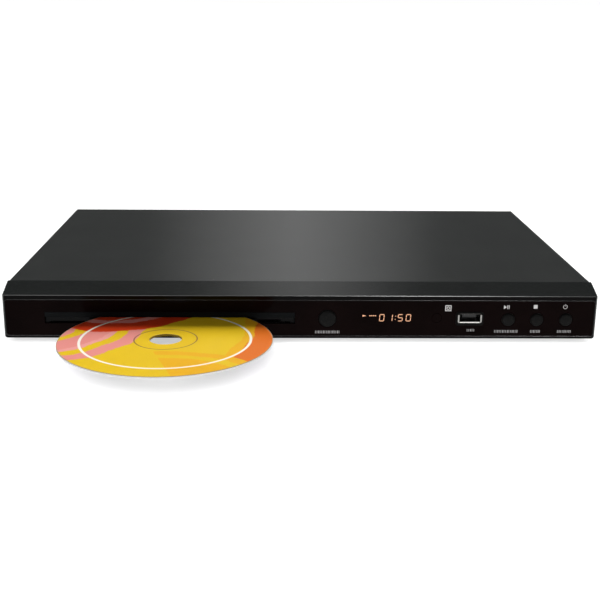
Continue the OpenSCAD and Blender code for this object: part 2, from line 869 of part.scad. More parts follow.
// Switches on the front board, each with a well that its button's stem presses in
module tact_switches() {
    place() color("#3a3d40") for (b = buttons) {
        difference() {
            block([b[0] - tact_w / 2, board_y - tact_h, foot_h + b[1] - tact_w / 2],
                [b[0] + tact_w / 2, board_y, foot_h + b[1] + tact_w / 2]);
            bar_y(b[0], foot_h + b[1], stem_dia + 2 * key_gap, board_y - tact_h - over,
                board_y - tact_h + key_travel + 0.7);
        }
    }
}

module display_module() {
    place() color("#30343a") union() {
        translate([display_x, 0, foot_h + display_up]) {
            block([-display_w / 2, window_y, -display_h / 2], [display_w / 2, board_y - 1.4, display_h / 2]);
            for (i = [0:13]) {
                translate([(i - 6.5) * 2.54, 0, 0])
                    block([-0.3, board_y - 1.5, -0.3 - 3.2], [0.3, board_y, 0.3 - 3.2]);
            }
        }
    }
}

module eye_lens() {
    place() color("#1a0e10") translate([eye_x, window_back, foot_h + eye_up]) rotate([-90, 0, 0])
        rotate_extrude() polygon([
            [0, -0.05], [eye_dia / 2 - 0.3, 0], [eye_dia / 2, 0.2], [eye_dia / 2, window_t],
            [eye_dia / 2 + 0.5, window_t], [eye_dia / 2 + 0.5, window_t + 1], [0, window_t + 1]
        ]);
}

module eye_receiver() {
    place() color("#202022") translate([eye_x, 0, foot_h + eye_up]) {
        block([-2.8, window_y + 3, -3.6], [2.8, board_y, 3.6]);
        translate([0, window_y + 3, 0]) rotate([90, 0, 0]) intersection() {
            sphere(2.4);
            translate([-3, -3, -0.5]) cube([6, 6, 2.4]);
        }
    }
}

// Dark frame with a raised middle round the front socket
module usb_bezel() {
    place() color("#191b1d") translate([usb_x, 0, foot_h + usb_up]) difference() {
        union() {
            along_y(window_back - 0.1, window_y) round_rect(usb_frame_w, usb_frame_h, usb_frame_r);
            along_y(window_back - usb_raise, window_back)
                round_rect(usb_frame_w - 1.2, usb_frame_h - 1.2, usb_frame_r - 0.6);
        }
        translate([0, 0, usb_rise]) block([-usb_w / 2 - fit_gap, -over, -usb_h / 2 - fit_gap],
            [usb_w / 2 + fit_gap, window_y + over, usb_h / 2 + fit_gap]);
    }
}

usb_frame_r = 1.6;
usb_rise = 0.65;
usb_shell_t = 0.3;
usb_len = 13.5;
usb_raise = 0.5;
usb_lip = 0.6;

// Metal shell with a lip that is turned out over the frame
module usb_shell() {
    place() color("#b4b8bc") translate([usb_x, window_back, foot_h + usb_up + usb_rise]) difference() {
        union() {
            block([-usb_w / 2, -usb_raise, -usb_h / 2], [usb_w / 2, usb_len, usb_h / 2]);
            along_y(-usb_raise - usb_shell_t, -usb_raise)
                round_rect(usb_w + 2 * usb_lip, usb_h + 1.2 * usb_lip, usb_lip + 0.4);
        }
        block([usb_shell_t - usb_w / 2, -over, usb_shell_t - usb_h / 2],
            [usb_w / 2 - usb_shell_t, usb_len - usb_shell_t, usb_h / 2 - usb_shell_t]);
    }
}

// Contact tongue with its rear block, and four contacts' ribs along it
module usb_tongue() {
    place() color("#1d1d1f") translate([usb_x, window_back, foot_h + usb_up + usb_rise]) {
        block([-4.2, 2, usb_h / 2 - usb_shell_t - 2.6], [4.2, 9.2, usb_h / 2 - usb_shell_t - 0.8]);
        block([usb_shell_t - usb_w / 2, 9, usb_shell_t - usb_h / 2],
            [usb_w / 2 - usb_shell_t, usb_len - usb_shell_t, usb_h / 2 - usb_shell_t]);
        for (i = [0:3]) {
            translate([(i - 1.5) * 2.2, 0, 0])
                block([-0.5, 2.6, usb_h / 2 - usb_shell_t - 2.8], [0.5, 9.2, usb_h / 2 - usb_shell_t - 2.5]);
        }
    }
}

module front_board() {
    place() color("#22452c") difference() {
        block([front_x0, board_y, front_z0], [front_x1, board_y + pcb_t, front_z1]);
        translate([usb_x, 0, foot_h + usb_up + usb_rise]) block([-usb_w / 2, board_y - over, -usb_h / 2],
            [usb_w / 2, board_y + pcb_t + over, usb_h / 2]);
        for (x = post_xs, z = post_zs) {
            bar_y(x, z, 1.8, board_y - over, board_y + pcb_t + over);
        }
    }
}

ribbon_x = 64;
ribbon_w = 16;
ribbon_t = 0.5;

// Flat cable from the front board, down and back to the main board's front edge
module front_ribbon() {
    y0 = board_y + pcb_t;
    y1 = board_back - main_d + 6;
    z0 = foot_h + face_h / 2;
    place() color("#d8d8d4") along_x(ribbon_x - ribbon_w / 2, ribbon_x + ribbon_w / 2) union() {
        translate([y0, z0 - 3]) square([2.5, 6]);
        translate([y0 + 2.4, z0 - ribbon_t / 2]) square([6.1, ribbon_t]);
        polygon([
            [y0 + 8.2, z0 - ribbon_t / 2], [y0 + 8.7, z0 + ribbon_t / 2],
            [y0 + 22, board_top + 3 + ribbon_t / 2], [y0 + 22, board_top + 3 - ribbon_t / 2]
        ]);
        translate([y0 + 21.8, board_top + 3 - ribbon_t / 2]) square([y1 - y0 - 23.6, ribbon_t]);
        translate([y1 - 3, board_top]) square([5, 6]);
    }
}

// ---- Electronics ----

module main_board() {
    place() color("#1f4a30") difference() {
        block([main_x, board_back - main_d, board_z], [main_x + main_w, board_back, board_top]);
        for (p = board_posts) {
            translate([p[0], p[1], board_z - over]) cylinder(d = screw_d, h = pcb_t + 2 * over);
        }
    }
}

module power_board() {
    place() color("#8a6a35") difference() {
        block([power_x0, board_back - power_d, board_z], [power_x0 + power_w, board_back, board_top]);
        for (p = board_posts) {
            translate([p[0], p[1], board_z - over]) cylinder(d = screw_d, h = pcb_t + 2 * over);
        }
    }
}

// A chip in a flat package with leads on two sides
module chip(w, d, leads) {
    block([-w / 2, -d / 2, 0.1], [w / 2, d / 2, 1.6]);
    for (i = [0:leads - 1], s = [-1, 1]) {
        translate([(i - (leads - 1) / 2) * w / leads, s * (d / 2 + 0.5), 0])
            block([-0.25, -0.7, 0], [0.25, 0.7, 0.5]);
    }
}

module main_chips() {
    place() translate([main_x, board_back - main_d, board_top]) color("#17181a") {
        translate([70, 48, 0]) chip(20, 20, 14);
        translate([36, 46, 0]) chip(12, 9, 8);
        translate([100, 46, 0]) chip(16, 8, 10);
        translate([30, 22, 0]) chip(10, 8, 8);
        translate([92, 22, 0]) chip(10, 8, 8);
    }
}

// Finned cooler on the main chip
module heat_sink() {
    place() translate([main_x + 70, board_back - main_d + 48, board_top + 1.6]) color("#9aa0a4") {
        block([-9, -9, 0], [9, 9, 1.6]);
        for (i = [0:5]) {
            translate([(i - 2.5) * 3.3, 0, 0]) block([-0.5, -9, 1.5], [0.5, 9, 7]);
        }
    }
}

module transformer() {
    place() translate([power_x0 + power_w / 2, board_back - 78, board_top]) color("#c8a53c") {
        block([-11, -8, 0], [11, 8, 2.5]);
        block([-8, -6, 2.4], [8, 6, 13]);
        block([-11, -8, 11], [11, 8, 16]);
        difference() {
            block([-11, -4, 2.4], [11, 4, 11.2]);
            block([-9, -5, 2.6], [9, 5, 11]);
        }
    }
}

capacitor_places = [
    [10, -112, 8, 12], [24, -112, 8, 12], [34, -98, 6.3, 11], [12, -50, 14, 17], [34, -54, 8, 12]
];

module capacitors() {
    place() translate([power_x0, board_back, board_top]) color("#23272e") for (c = capacitor_places) {
        translate([c[0], c[1], 0]) rotate_extrude() polygon([
            [0, 0], [c[2] / 2, 0], [c[2] / 2, 1.2], [c[2] / 2 - 0.3, 1.5], [c[2] / 2, 1.8],
            [c[2] / 2, c[3] - 0.5], [c[2] / 2 - 0.5, c[3]], [0, c[3]]
        ]);
    }
}

// Glass fuse in two clips
module fuse() {
    place() translate([power_x0 + 33, board_back - 30, board_top]) color("#d0d4d6") {
        bar_y(0, 4, 5, -10, 10);
        for (y = [-10, 7]) {
            block([-3, y, 0], [3, y + 3, 2]);
        }
    }
}

module mains_inlet() {
    place() translate([inlet_x, 0, inlet_z]) color("#151515") difference() {
        union() {
            along_y(rear_y - sheet_t - 14, rear_y + 1.2) figure_eight(1.5);
            block([-11, rear_y - sheet_t - 14, board_top - inlet_z], [11, rear_y - sheet_t, 6]);
        }
        along_y(rear_y - 11, rear_y + 1.2 + over) figure_eight(0);
    }
    place() translate([inlet_x, 0, inlet_z]) color("#b9bcbd") for (s = [-1, 1]) {
        bar_y(s * 4, 0, 2.3, rear_y - 11.1, rear_y - 1.4);
    }
}

module rca_housing() {
    place() color("#1a1b1c") difference() {
        block([rca_x - rca_pitch / 2, board_back - 11, board_top],
            [rca_x + (rca_count - 0.5) * rca_pitch - 0.6, board_back, rca_z + 6.4]);
        for (i = [0:rca_count - 1]) {
            bar_y(rca_x + i * rca_pitch, rca_z, rca_collar, board_back - rca_seat, board_back + over);
        }
    }
}

// Metal ring of each phono jack, seated in the housing, with an insulator round its centre hole
module rca_rings() {
    place() color("#c3c6c8") for (i = [0:rca_count - 1]) {
        translate([rca_x + i * rca_pitch, 0, rca_z]) difference() {
            union() {
                bar_y(0, 0, rca_collar, board_back - rca_seat, rear_y);
                bar_y(0, 0, rca_dia, rear_y - over, body_d + rca_out);
            }
            bar_y(0, 0, 3.2, body_d - 2, body_d + rca_out + over);
            along_y(body_d + rca_out - 1, body_d + rca_out + over) difference() {
                circle(d = rca_dia - 1.2);
                circle(d = 5);
            }
        }
    }
}

module hdmi_socket() {
    place() translate([hdmi_x, 0, hdmi_z]) color("#b4b8bc") {
        difference() {
            block([-7.6, board_back - 10, -3.2], [7.6, rear_y + 0.4, 3.1]);
            block([-7.1, board_back - 8, -2.7], [7.1, rear_y + 0.4 + over, 2.6]);
        }
        block([-6, board_back - 8.1, -0.6], [6, rear_y - 1, 0.6]);
    }
}

// SCART socket: a slanting skirt round a block with two rows of slots
module scart_socket() {
    place() translate([scart_x, 0, scart_z]) color("#1a1b1c") difference() {
        union() {
            along_y(board_back - 12, rear_y + 1.4) scart_outline(0);
            block([-scart_w / 2, board_back - 12, board_top - scart_z], [scart_w / 2, board_back, 0]);
        }
        along_y(rear_y - 9, rear_y + 1.4 + over) difference() {
            scart_outline(1.2);
            square([39, 5.2], center = true);
        }
        for (i = [0:9], s = [-1, 1]) {
            translate([(i - 4.5) * 3.8 + s * 0.9, 0, s * 1.3])
                block([-0.5, rear_y - 5, -1], [0.5, rear_y + 1.4 + over, 1]);
        }
    }
}

// ---- Loader ----

// Moulded frame: floor with the traverse's bay, side walls, ledges, axle pins and the motor's wing
module loader_frame() {
    at_line() color("#2b2e31") difference() {
        union() {
            frame_floor();
            frame_walls();
            for (p = [[gear_u, gear_y, pinion_top - 0.1], [pulley_u, pulley_y, pinion_z - 0.2]]) {
                translate([p[0], p[1], frame_z]) cylinder(d = axle_dia, h = p[2] - frame_z);
                translate([p[0], p[1], frame_z]) cylinder(d = axle_dia + 3, h = frame_t + 0.3);
            }
            translate([gear_u, gear_y, frame_z]) cylinder(d = axle_dia + 3, h = wheel_z - frame_z - 0.2);
            for (s = [-1, 1]) {
                block([s * (bay_half + 1.6) - 1.6, hinge_y - 4, frame_z],
                    [s * (bay_half + 1.6) + 1.6, hinge_y + 4, hinge_z + 3.4]);
            }
            for (s = [-1, 1]) {
                translate([motor_u, pulley_y + s * motor_arm, frame_z])
                    cylinder(d = 4.5, h = motor_z - frame_z);
            }
        }
        bar_x(hinge_y, hinge_z, hinge_dia + pin_gap, -bay_half - 3 - over, bay_half + 3 + over);
        for (p = frame_seats) {
            translate([p[0], p[1], frame_z - over]) cylinder(d = screw_d + fit_gap, h = frame_t + 2 * over);
        }
        block([wall_in - well_off - over, pulley_y - 14, pulley_z - 0.4],
            [wall_out - well_off + over, pulley_y + 14, pulley_z + pulley_h + 0.4]);
    }
}

module frame_floor() {
    difference() {
        union() {
            block([-wall_out - well_off, frame_y0, frame_z], [wall_out - well_off, frame_end, frame_top]);
            block([wall_in - well_off, pulley_y - 15, frame_z], [motor_u + 9, pulley_y + 15, frame_top]);
        }
        block([-bay_half, bay_y0, frame_z - over], [bay_half, bay_y1, frame_top + over]);
        for (x = [-62, 47]) {
            block([x, bay_y0 + 37, frame_z - over], [x + 14, bay_y1 - 18, frame_top + over]);
        }
        block([-60, bay_y1 + 8, frame_z - over], [60, frame_end - 12, frame_top + over]);
    }
    for (y = [frame_y0, bay_y0 - 8.6]) {
        block([-wall_out - well_off, y, frame_z], [pulley_u - 15, y + 1.6, ledge_z - 3]);
    }
    block([-wall_out - well_off, frame_end - frame_wall, frame_z],
        [wall_out - well_off, frame_end, ledge_z - 1]);
}

module frame_walls() {
    translate([-well_off, 0, 0]) for (s = [-1, 1]) {
        x0 = s > 0 ? wall_in : -wall_out;
        block([x0, wall_y + 3.2, wall_z], [x0 + frame_wall, frame_y0 + over, wall_top]);
        block([x0, frame_y0, frame_z], [x0 + frame_wall, frame_end, wall_top]);
        ledge_x = s > 0 ? wall_in - ledge_w : -wall_in - over;
        block([ledge_x, wall_y + 3.2, ledge_z - ledge_t], [ledge_x + ledge_w + over, frame_end, ledge_z]);
        tab_x = s > 0 ? wall_in - 4 : -wall_in - over;
        for (y = [20, 110, 196]) {
            block([tab_x, y, tray_top + run_gap], [tab_x + 4 + over, y + 10, tray_top + run_gap + 1.2]);
        }
    }
}

module loader_screws() {
    at_line() color("#b9bcbd") for (p = frame_seats) {
        translate([p[0], p[1], frame_top]) screw(frame_t + frame_lift + sheet_t);
    }
}

// Steel bridge over the tray that carries the clamper, with stiffening edges
module clamp_bridge() {
    at_line() color("#9a9ea0") difference() {
        union() {
            block([-wall_out - well_off, spindle_y - bridge_d / 2, wall_top],
                [wall_out - well_off, spindle_y + bridge_d / 2, wall_top + bridge_t]);
            for (s = [-1, 1]) {
                translate([-well_off, spindle_y + s * (bridge_d / 2 - bridge_t / 2), wall_top])
                    block([-wall_in + 6, -bridge_t / 2, 0], [wall_in - 6, bridge_t / 2, 4.5]);
            }
        }
        translate([0, spindle_y, wall_top - over]) cylinder(d = bridge_hole, h = bridge_t + 2 * over);
        for (x = [-48, 48]) {
            translate([x, spindle_y, 0]) along_z(wall_top - over, wall_top + bridge_t + over)
                rotate(90) oblong(12, 30);
        }
    }
}

clamp_low = tray_top + 0.3;
flange_z = wall_top + bridge_t + 0.3;

// Clamper hung in the bridge by its flange, hollow for the magnet and for the turntable's boss
module clamper() {
    r = clamper_dia / 2;
    at_line() translate([0, spindle_y, 0]) color("#e2e2de") rotate_extrude() polygon([
        [0, clamp_low + 1], [disc_hole / 2 + 0.5, clamp_low + 1], [disc_hole / 2 + 0.5, clamp_low],
        [r - 0.4, clamp_low], [r, clamp_low + 0.4], [r, flange_z], [clamper_flange / 2, flange_z],
        [clamper_flange / 2, flange_z + 1], [r, flange_z + 1], [r - 1, flange_z + 1.6],
        [r - 2.6, flange_z + 1.6], [r - 2.6, clamp_low + 1.8], [0, clamp_low + 1.8]
    ]);
}

module clamper_magnet() {
    at_line() translate([0, spindle_y, clamp_low + 1.8]) color("#6c6f73")
        tube(clamper_dia / 2 - 2.6 - fit_gap, 3, 2.4);
}

// Outline of the tray's plate, round the disc's middle
module tray_outline() {
    intersection() {
        circle(nose_r, $fn = 96);
        translate([-nose_half, -nose_r]) square([nose_half + rack_root, nose_r]);
    }
    translate([-nose_half, -0.01]) square([nose_half + rack_root, shoulder_v + 1.01]);
    translate([tray_l, shoulder_v]) square([tray_w, tray_back - shoulder_v]);
}

// Rack along the nose's right edge, phased to mesh with the pinion as the tray stands
module rack() {
    slant = tan(20);
    half = rack_pitch / 4 - backlash / 2;
    start = mesh_v + rack_first * rack_pitch;
    along_z(tub_z, plate_top) for (i = [0:rack_teeth - 1]) {
        translate([rack_u, start + (i + 0.5) * rack_pitch]) polygon([
            [-1.3 * rack_m, -half - 1.3 * rack_m * slant], [rack_m, -half + rack_m * slant],
            [rack_m, half - rack_m * slant], [-1.3 * rack_m, half + 1.3 * rack_m * slant]
        ]);
    }
    block([rack_root - 3, start, tub_z], [rack_root, start + rack_teeth * rack_pitch, plate_top]);
}

// Tray: round-nosed carrier, raised surround with the disc's well, side rails and a rack
module tray() {
    at_disc() color("#16181a") difference() {
        union() {
            difference() {
                union() {
                    along_z(plate_z, plate_top) tray_outline();
                    tray_surround();
                }
                translate([0, 0, plate_top]) cylinder(r = well_r, h = 10, $fn = 96);
                block([rack_root, shoulder_v - over, tub_z - over],
                    [groove_u, tray_back - groove_end, groove_z]);
            }
            translate([0, 0, plate_top - 0.01]) difference() {
                tube(nose_half - 0.5, nose_half - 0.5 - seat_w, seat_h + 0.01);
                block([rack_root - 0.2, -nose_r, -over], [nose_r, nose_r, seat_h + over]);
            }
            translate([0, 0, tub_z]) cylinder(r = tub_r + plate_t, h = plate_top - tub_z, $fn = 96);
            rack();
        }
        translate([0, 0, tub_z + plate_t]) cylinder(r = tub_r, h = 10, $fn = 96);
        translate([0, 0, tub_z - over]) cylinder(r = eye_r, h = 10);
        block([-slot_w / 2, 0, tub_z - over], [slot_w / 2, slot_l, tray_top + over]);
    }
}

// Raised part of the tray behind its shoulders, with a rail down each side
module tray_surround() {
    tray_r = tray_l + tray_w;
    block([tray_l, shoulder_v, plate_z], [tray_r, tray_back, tray_top]);
    block([tray_l, shoulder_v, tub_z], [tray_l + rail_w, tray_back, tray_top]);
    block([tray_r - rail_w, shoulder_v, tub_z], [tray_r, tray_back, tray_top]);
}

// Disc with its hub ring and, underneath, its stacking ring
module disc() {
    r = disc_dia / 2;
    at_disc() translate([0, 0, disc_z]) color("#f0b8a0") rotate_extrude($fn = 96) polygon([
        [disc_hole / 2, 0.1], [disc_hole / 2 + 0.1, 0], [stack_dia / 2 - 0.5, 0],
        [stack_dia / 2 - 0.3, -stack_h], [stack_dia / 2 + 0.3, -stack_h], [stack_dia / 2 + 0.5, 0],
        [r - 0.15, 0], [r, 0.15], [r, disc_t - 0.15], [r - 0.15, disc_t],
        [disc_hole / 2 + 0.1, disc_t], [disc_hole / 2, disc_t - 0.1]
    ]);
}

// Wheel and pinion on one axle: the pinion drives the rack
module tray_gear() {
    at_line() translate([gear_u, gear_y, 0]) color("#e8e4d6") difference() {
        union() {
            along_z(wheel_z, wheel_z + wheel_h) polygon(gear_points(wheel_teeth, wheel_m, mesh_angle));
            along_z(pinion_z - 0.01, pinion_top) polygon(gear_points(pinion_teeth, rack_m, 180));
        }
        translate([0, 0, wheel_z - over]) cylinder(d = axle_dia + pin_gap, h = 10);
    }
}

// Grooved pulley with a pinion on top
module pulley_gear() {
    r = pulley_dia / 2;
    groove = belt_z - pulley_z;
    at_line() translate([pulley_u, pulley_y, 0]) color("#e8e4d6") difference() {
        union() {
            translate([0, 0, pulley_z]) rotate_extrude() polygon([
                [0, 0], [r + 1, 0], [r + 1, groove / 2], [r, groove], [r, pulley_h - groove],
                [r + 1, pulley_h - groove / 2], [r + 1, pulley_h], [0, pulley_h]
            ]);
            translate([0, 0, pulley_z]) cylinder(r = small_r - 1, h = pulley_h + 0.5);
            along_z(wheel_z, wheel_z + wheel_h)
                polygon(gear_points(small_teeth, wheel_m, mesh_angle + 180 + 180 / small_teeth));
        }
        translate([0, 0, pulley_z - over]) cylinder(d = axle_dia + pin_gap, h = 10);
    }
}

module motor_pulley() {
    r = motor_pulley_dia / 2;
    groove = belt_z - pulley_z;
    at_line() translate([motor_u, pulley_y, pulley_z]) color("#d9d4c4") difference() {
        rotate_extrude() polygon([
            [0, 0], [r + 1, 0], [r + 1, groove / 2], [r, groove], [r, pulley_h - groove],
            [r + 1, pulley_h - groove / 2], [r + 1, pulley_h], [0, pulley_h]
        ]);
        translate([0, 0, -over]) cylinder(d = 1.5 + fit_gap, h = pulley_h + 2 * over);
    }
}

// Can motor standing on the frame's wing, shaft down
module loading_motor() {
    at_line() translate([motor_u, pulley_y, 0]) color("#a9adb0") {
        along_z(motor_z, motor_z + 1) union() {
            circle(d = motor_dia - 6);
            square([9, 2 * motor_arm], center = true);
            for (s = [-1, 1]) {
                translate([0, s * motor_arm]) circle(d = 5);
            }
        }
        translate([0, 0, motor_z + 0.9]) rotate_extrude() polygon([
            [0, 0], [motor_dia / 2 - 0.8, 0], [motor_dia / 2, 0.8], [motor_dia / 2, motor_h - 0.8],
            [motor_dia / 2 - 0.8, motor_h], [4, motor_h], [4, motor_h + 1], [0, motor_h + 1]
        ]);
        translate([0, 0, pulley_z + 0.1]) cylinder(d = 1.5, h = motor_z - pulley_z);
    }
}

// Outline of a belt round two circles on one line along X, the second at distance l
function belt_points(r1, r2, l) =
    let (a = acos((r1 - r2) / l), steps = 24)
    concat(
        [for (i = [0:steps]) polar(r1, a + i * (360 - 2 * a) / steps)],
        [for (i = [0:steps]) [l, 0] + polar(r2, -a + i * 2 * a / steps)]
    );

module drive_belt() {
    r1 = pulley_dia / 2 + fit_gap;
    r2 = motor_pulley_dia / 2 + fit_gap;
    at_line() translate([pulley_u, pulley_y, 0]) color("#1a1a1a")
        along_z(belt_z, belt_z + belt_t) difference() {
        polygon(belt_points(r1 + belt_t, r2 + belt_t, motor_u - pulley_u));
        polygon(belt_points(r1, r2, motor_u - pulley_u));
    }
}

// Slider with the slanting slot that lifts the traverse's front pin
module cam_slider() {
    low_z = cam_pin_z - cam_rise;
    slot = cam_pin_dia + pin_gap;
    slope = atan2(cam_rise, cam_travel);
    run = sqrt(pow(cam_rise, 2) + pow(cam_travel, 2));
    at_line() translate([-cam_travel / 2, 0, 0]) color("#d6d0bc") difference() {
        union() {
            block([-cam_half, cam_y0, floor_z + 0.3],
                [cam_half, cam_y0 + cam_t, cam_pin_z + slot / 2 + 0.2]);
            block([-cam_half, bay_y0 - 4, frame_top + 0.2], [cam_half, cam_y0 + 0.1, frame_top + 1.2]);
        }
        along_y(cam_y0 - over, cam_y0 + cam_t + over)
            translate([cam_travel / 2, low_z]) rotate(-slope) union() {
            translate([-run, -slot / 2]) square([run, slot]);
            circle(d = slot);
            translate([-run, 0]) circle(d = slot);
        }
    }
}

// Small board behind the tray with the switch that the tray closes
module loader_board() {
    at_line() color("#22452c") {
        block([24, frame_end - 18, frame_top], [52, frame_end - frame_wall, frame_top + pcb_t]);
        block([34, frame_end - 9, frame_top + pcb_t - 0.01], [42, frame_end - 4, frame_top + pcb_t + 3]);
    }
}

// ---- Traverse ----

frame_low = deck_z - 1.8;
frame_high = deck_z + deck_t;
bush_places = [[-30, spindle_y - 12], [30, spindle_y - 12], [-30, hinge_y - 9]];

// Plastic frame round the deck: hinge pins behind, cam pin in front, ears for the rubber bushes
module traverse_frame() {
    outer = bay_half - 0.6;
    lowered() color("#3a3e42") {
        difference() {
            block([-outer, spindle_y - 22, frame_low], [outer, hinge_y + 3, frame_high]);
            block([-outer + 2.6, spindle_y - 19, frame_low - over],
                [outer - 2.6, hinge_y - 1, frame_high + over]);
        }
        for (p = bush_places) {
            s = sign(p[0]);
            block([min(s * (outer - 1), p[0] - s * 3.2), p[1] - 4, frame_low],
                [max(s * (outer - 1), p[0] - s * 3.2), p[1] + 4, frame_low + 0.8]);
        }
        for (s = [-1, 1]) {
            bar_x(hinge_y, hinge_z, hinge_dia, min(s * (outer - 1), s * (bay_half + 2.8)),
                max(s * (outer - 1), s * (bay_half + 2.8)));
        }
        bar_y(0, cam_pin_z, cam_pin_dia, cam_y0 + 0.2, spindle_y - 21);
    }
}

// Steel deck with the motor's hole, the pickup's window and brackets for the guide rods
module traverse_deck() {
    lowered() color("#a4a8ab") difference() {
        union() {
            translate([0, (spindle_y + hinge_y) / 2 - 11, 0]) along_z(deck_z, deck_z + deck_t)
                round_rect(2 * deck_half, hinge_y - spindle_y + 14, 3);
            for (s = [-1, 1]) {
                for (y = [rod_y0 - 4, rod_y1 - 1]) {
                    block([s * rod_u - 2.6, y, rod_z - rod_dia / 2 - 0.7],
                        [s * rod_u + 2.6, y + 5, deck_z + 0.1]);
                }
            }
        }
        translate([0, spindle_y, 0]) cylinder(d = spindle_motor_dia + 2, h = 40);
        block([-rod_u - 3.4, rod_y0, deck_z - 0.01], [rod_u + 3.4, rod_y1, deck_z + deck_t + over]);
        block([screw_u - sled_motor_dia / 2 - 0.4, rod_y1 - 6, 0], [deck_half + over, hinge_y, 40]);
        for (s = [-1, 1]) {
            bar_y(s * rod_u, rod_z, rod_dia, rod_y0 - 2, rod_y1 + 2);
        }
        for (p = bush_places) {
            translate([p[0], p[1], deck_z - over]) cylinder(d = 4.2, h = deck_t + 2 * over);
        }
    }
}

// Rubber bushes between the frame's ears and the deck
module damper_bushes() {
    lowered() color("#2a2a2c") for (p = bush_places) {
        translate([p[0], p[1], 0]) rotate_extrude() polygon([
            [0, frame_low + 0.8], [3.4, frame_low + 0.8], [3.4, deck_z], [2.1, deck_z],
            [2.1, deck_z + deck_t], [3, deck_z + deck_t],
            [2.6, deck_z + deck_t + 0.5], [0, deck_z + deck_t + 0.5]
        ]);
    }
}

module spindle_motor() {
    lowered() translate([0, spindle_y, 0]) color("#b5b8ba") {
        translate([0, 0, can_z - motor_plate_t]) cylinder(d = spindle_motor_dia + 6, h = motor_plate_t);
        for (a = [30, 150, 270]) {
            rotate(a) translate([spindle_motor_dia / 2 + 1.6, 0, can_z - 0.01])
                cylinder(d = 2.6, h = deck_z - can_z + 0.01);
        }
        translate([0, 0, can_z - 0.01]) cylinder(d = spindle_motor_dia, h = can_top - can_z + 0.01);
        translate([0, 0, can_top - 0.01]) cylinder(d = 2, h = turntable_h);
    }
}

// Turntable with a rubber ring's step and the boss that centres the disc
module turntable() {
    r = turntable_dia / 2;
    boss = (disc_hole - 0.3) / 2;
    lowered() translate([0, spindle_y, 0]) color("#26282a") difference() {
        rotate_extrude() polygon([
            [0, platter_z], [r - 1, platter_z], [r, platter_z + 0.6], [r, platter_top],
            [boss + 2.5, platter_top], [boss + 2.5, platter_top - 0.3], [boss, platter_top - 0.3],
            [boss, platter_top + boss_h - 0.6], [boss - 0.8, platter_top + boss_h], [0, platter_top + boss_h]
        ]);
        translate([0, 0, platter_z - over]) cylinder(d = 2 + fit_gap, h = over + turntable_h);
    }
}

// Pickup carriage on the two guide rods, with an arm to the lead screw
module pickup_sled() {
    bush = rod_dia + 2;
    lowered() translate([0, lens_y, 0]) color("#5b5f63") difference() {
        union() {
            translate([0, 1.5, 0]) along_z(deck_z - 3, deck_z + 0.9) round_rect(38, 20, 4);
            for (s = [-1, 1]) {
                bar_y(s * rod_u, rod_z, bush, s > 0 ? -8 : -4, s > 0 ? 11 : 4);
                block([min(s * 18, s * rod_u), -3.5, deck_z - 2.4], [max(s * 18, s * rod_u), 3.5, deck_z]);
            }
            block([rod_u, -2.5, screw_z - 1.9], [screw_u + 2.2, 2.5, screw_z]);
        }
        for (s = [-1, 1]) {
            bar_y(s * rod_u, rod_z, rod_dia + fit_gap, -20, 20);
        }
        bar_y(screw_u, screw_z, screw_dia + 2 * fit_gap, -20, 20);
        translate([0, 0, deck_z - 0.6]) cylinder(d = 9.4, h = 10);
    }
}

module pickup_lens() {
    lowered() translate([0, lens_y, deck_z - 0.6]) color("#4d6a86") {
        tube(4.4, 2.4, 2.8);
        translate([0, 0, 0]) cylinder(d = 5, h = 1.8);
        translate([0, 0, 1.7]) intersection() {
            translate([0, 0, -3.2]) sphere(4, $fn = 32);
            cylinder(d = 4.6, h = 0.9);
        }
    }
}

module guide_rods() {
    lowered() color("#d2d5d7") for (s = [-1, 1]) {
        bar_y(s * rod_u, rod_z, rod_dia, rod_y0 - 2, rod_y1 + 2);
    }
}

module lead_screw() {
    lowered() color("#c9b98a") bar_y(screw_u, screw_z, screw_dia, rod_y0 + 2, rod_y1 - 3);
}

module sled_motor() {
    lowered() color("#a9adb0") union() {
        bar_y(screw_u, screw_z, sled_motor_dia, rod_y1 - 3, rod_y1 - 3 + sled_motor_l);
    }
}

base_chassis();
rear_panel();
top_cover();
front_panel();
front_window();
mouth_trim();
dust_lip();
feet();
foot_screws();
cover_screws();
open_button();
play_button();
stop_button();
power_button();
display_module();
eye_lens();
eye_receiver();
usb_bezel();
usb_shell();
usb_tongue();
front_board();
tact_switches();
front_ribbon();
main_board();
main_chips();
heat_sink();
power_board();
transformer();
capacitors();
fuse();
mains_inlet();
rca_rings();
rca_housing();
hdmi_socket();
scart_socket();
loader_frame();
loader_screws();
clamp_bridge();
clamper();
clamper_magnet();
tray();
disc();
tray_gear();
pulley_gear();
motor_pulley();
loading_motor();
drive_belt();
cam_slider();
loader_board();
traverse_frame();
traverse_deck();
damper_bushes();
spindle_motor();
turntable();
pickup_sled();
pickup_lens();
guide_rods();
lead_screw();
sled_motor();
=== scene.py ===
"""Looks of a slim disc player that stands with its tray part way out and a printed disc on it."""

import json
import math

import bmesh
import bpy
from mathutils import Matrix, Vector


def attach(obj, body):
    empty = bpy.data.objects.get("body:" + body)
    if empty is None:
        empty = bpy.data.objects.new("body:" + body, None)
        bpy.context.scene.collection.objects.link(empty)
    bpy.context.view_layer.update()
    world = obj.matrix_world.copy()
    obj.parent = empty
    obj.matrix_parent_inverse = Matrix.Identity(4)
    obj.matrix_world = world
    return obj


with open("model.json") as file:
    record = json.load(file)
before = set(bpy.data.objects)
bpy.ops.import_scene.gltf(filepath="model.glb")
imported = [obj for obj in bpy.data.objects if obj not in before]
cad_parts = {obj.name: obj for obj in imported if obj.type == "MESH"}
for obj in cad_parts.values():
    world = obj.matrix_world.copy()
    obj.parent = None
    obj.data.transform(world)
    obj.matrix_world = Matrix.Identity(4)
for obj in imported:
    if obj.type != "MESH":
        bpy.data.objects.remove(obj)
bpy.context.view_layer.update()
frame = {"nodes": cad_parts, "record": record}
scene = bpy.context.scene
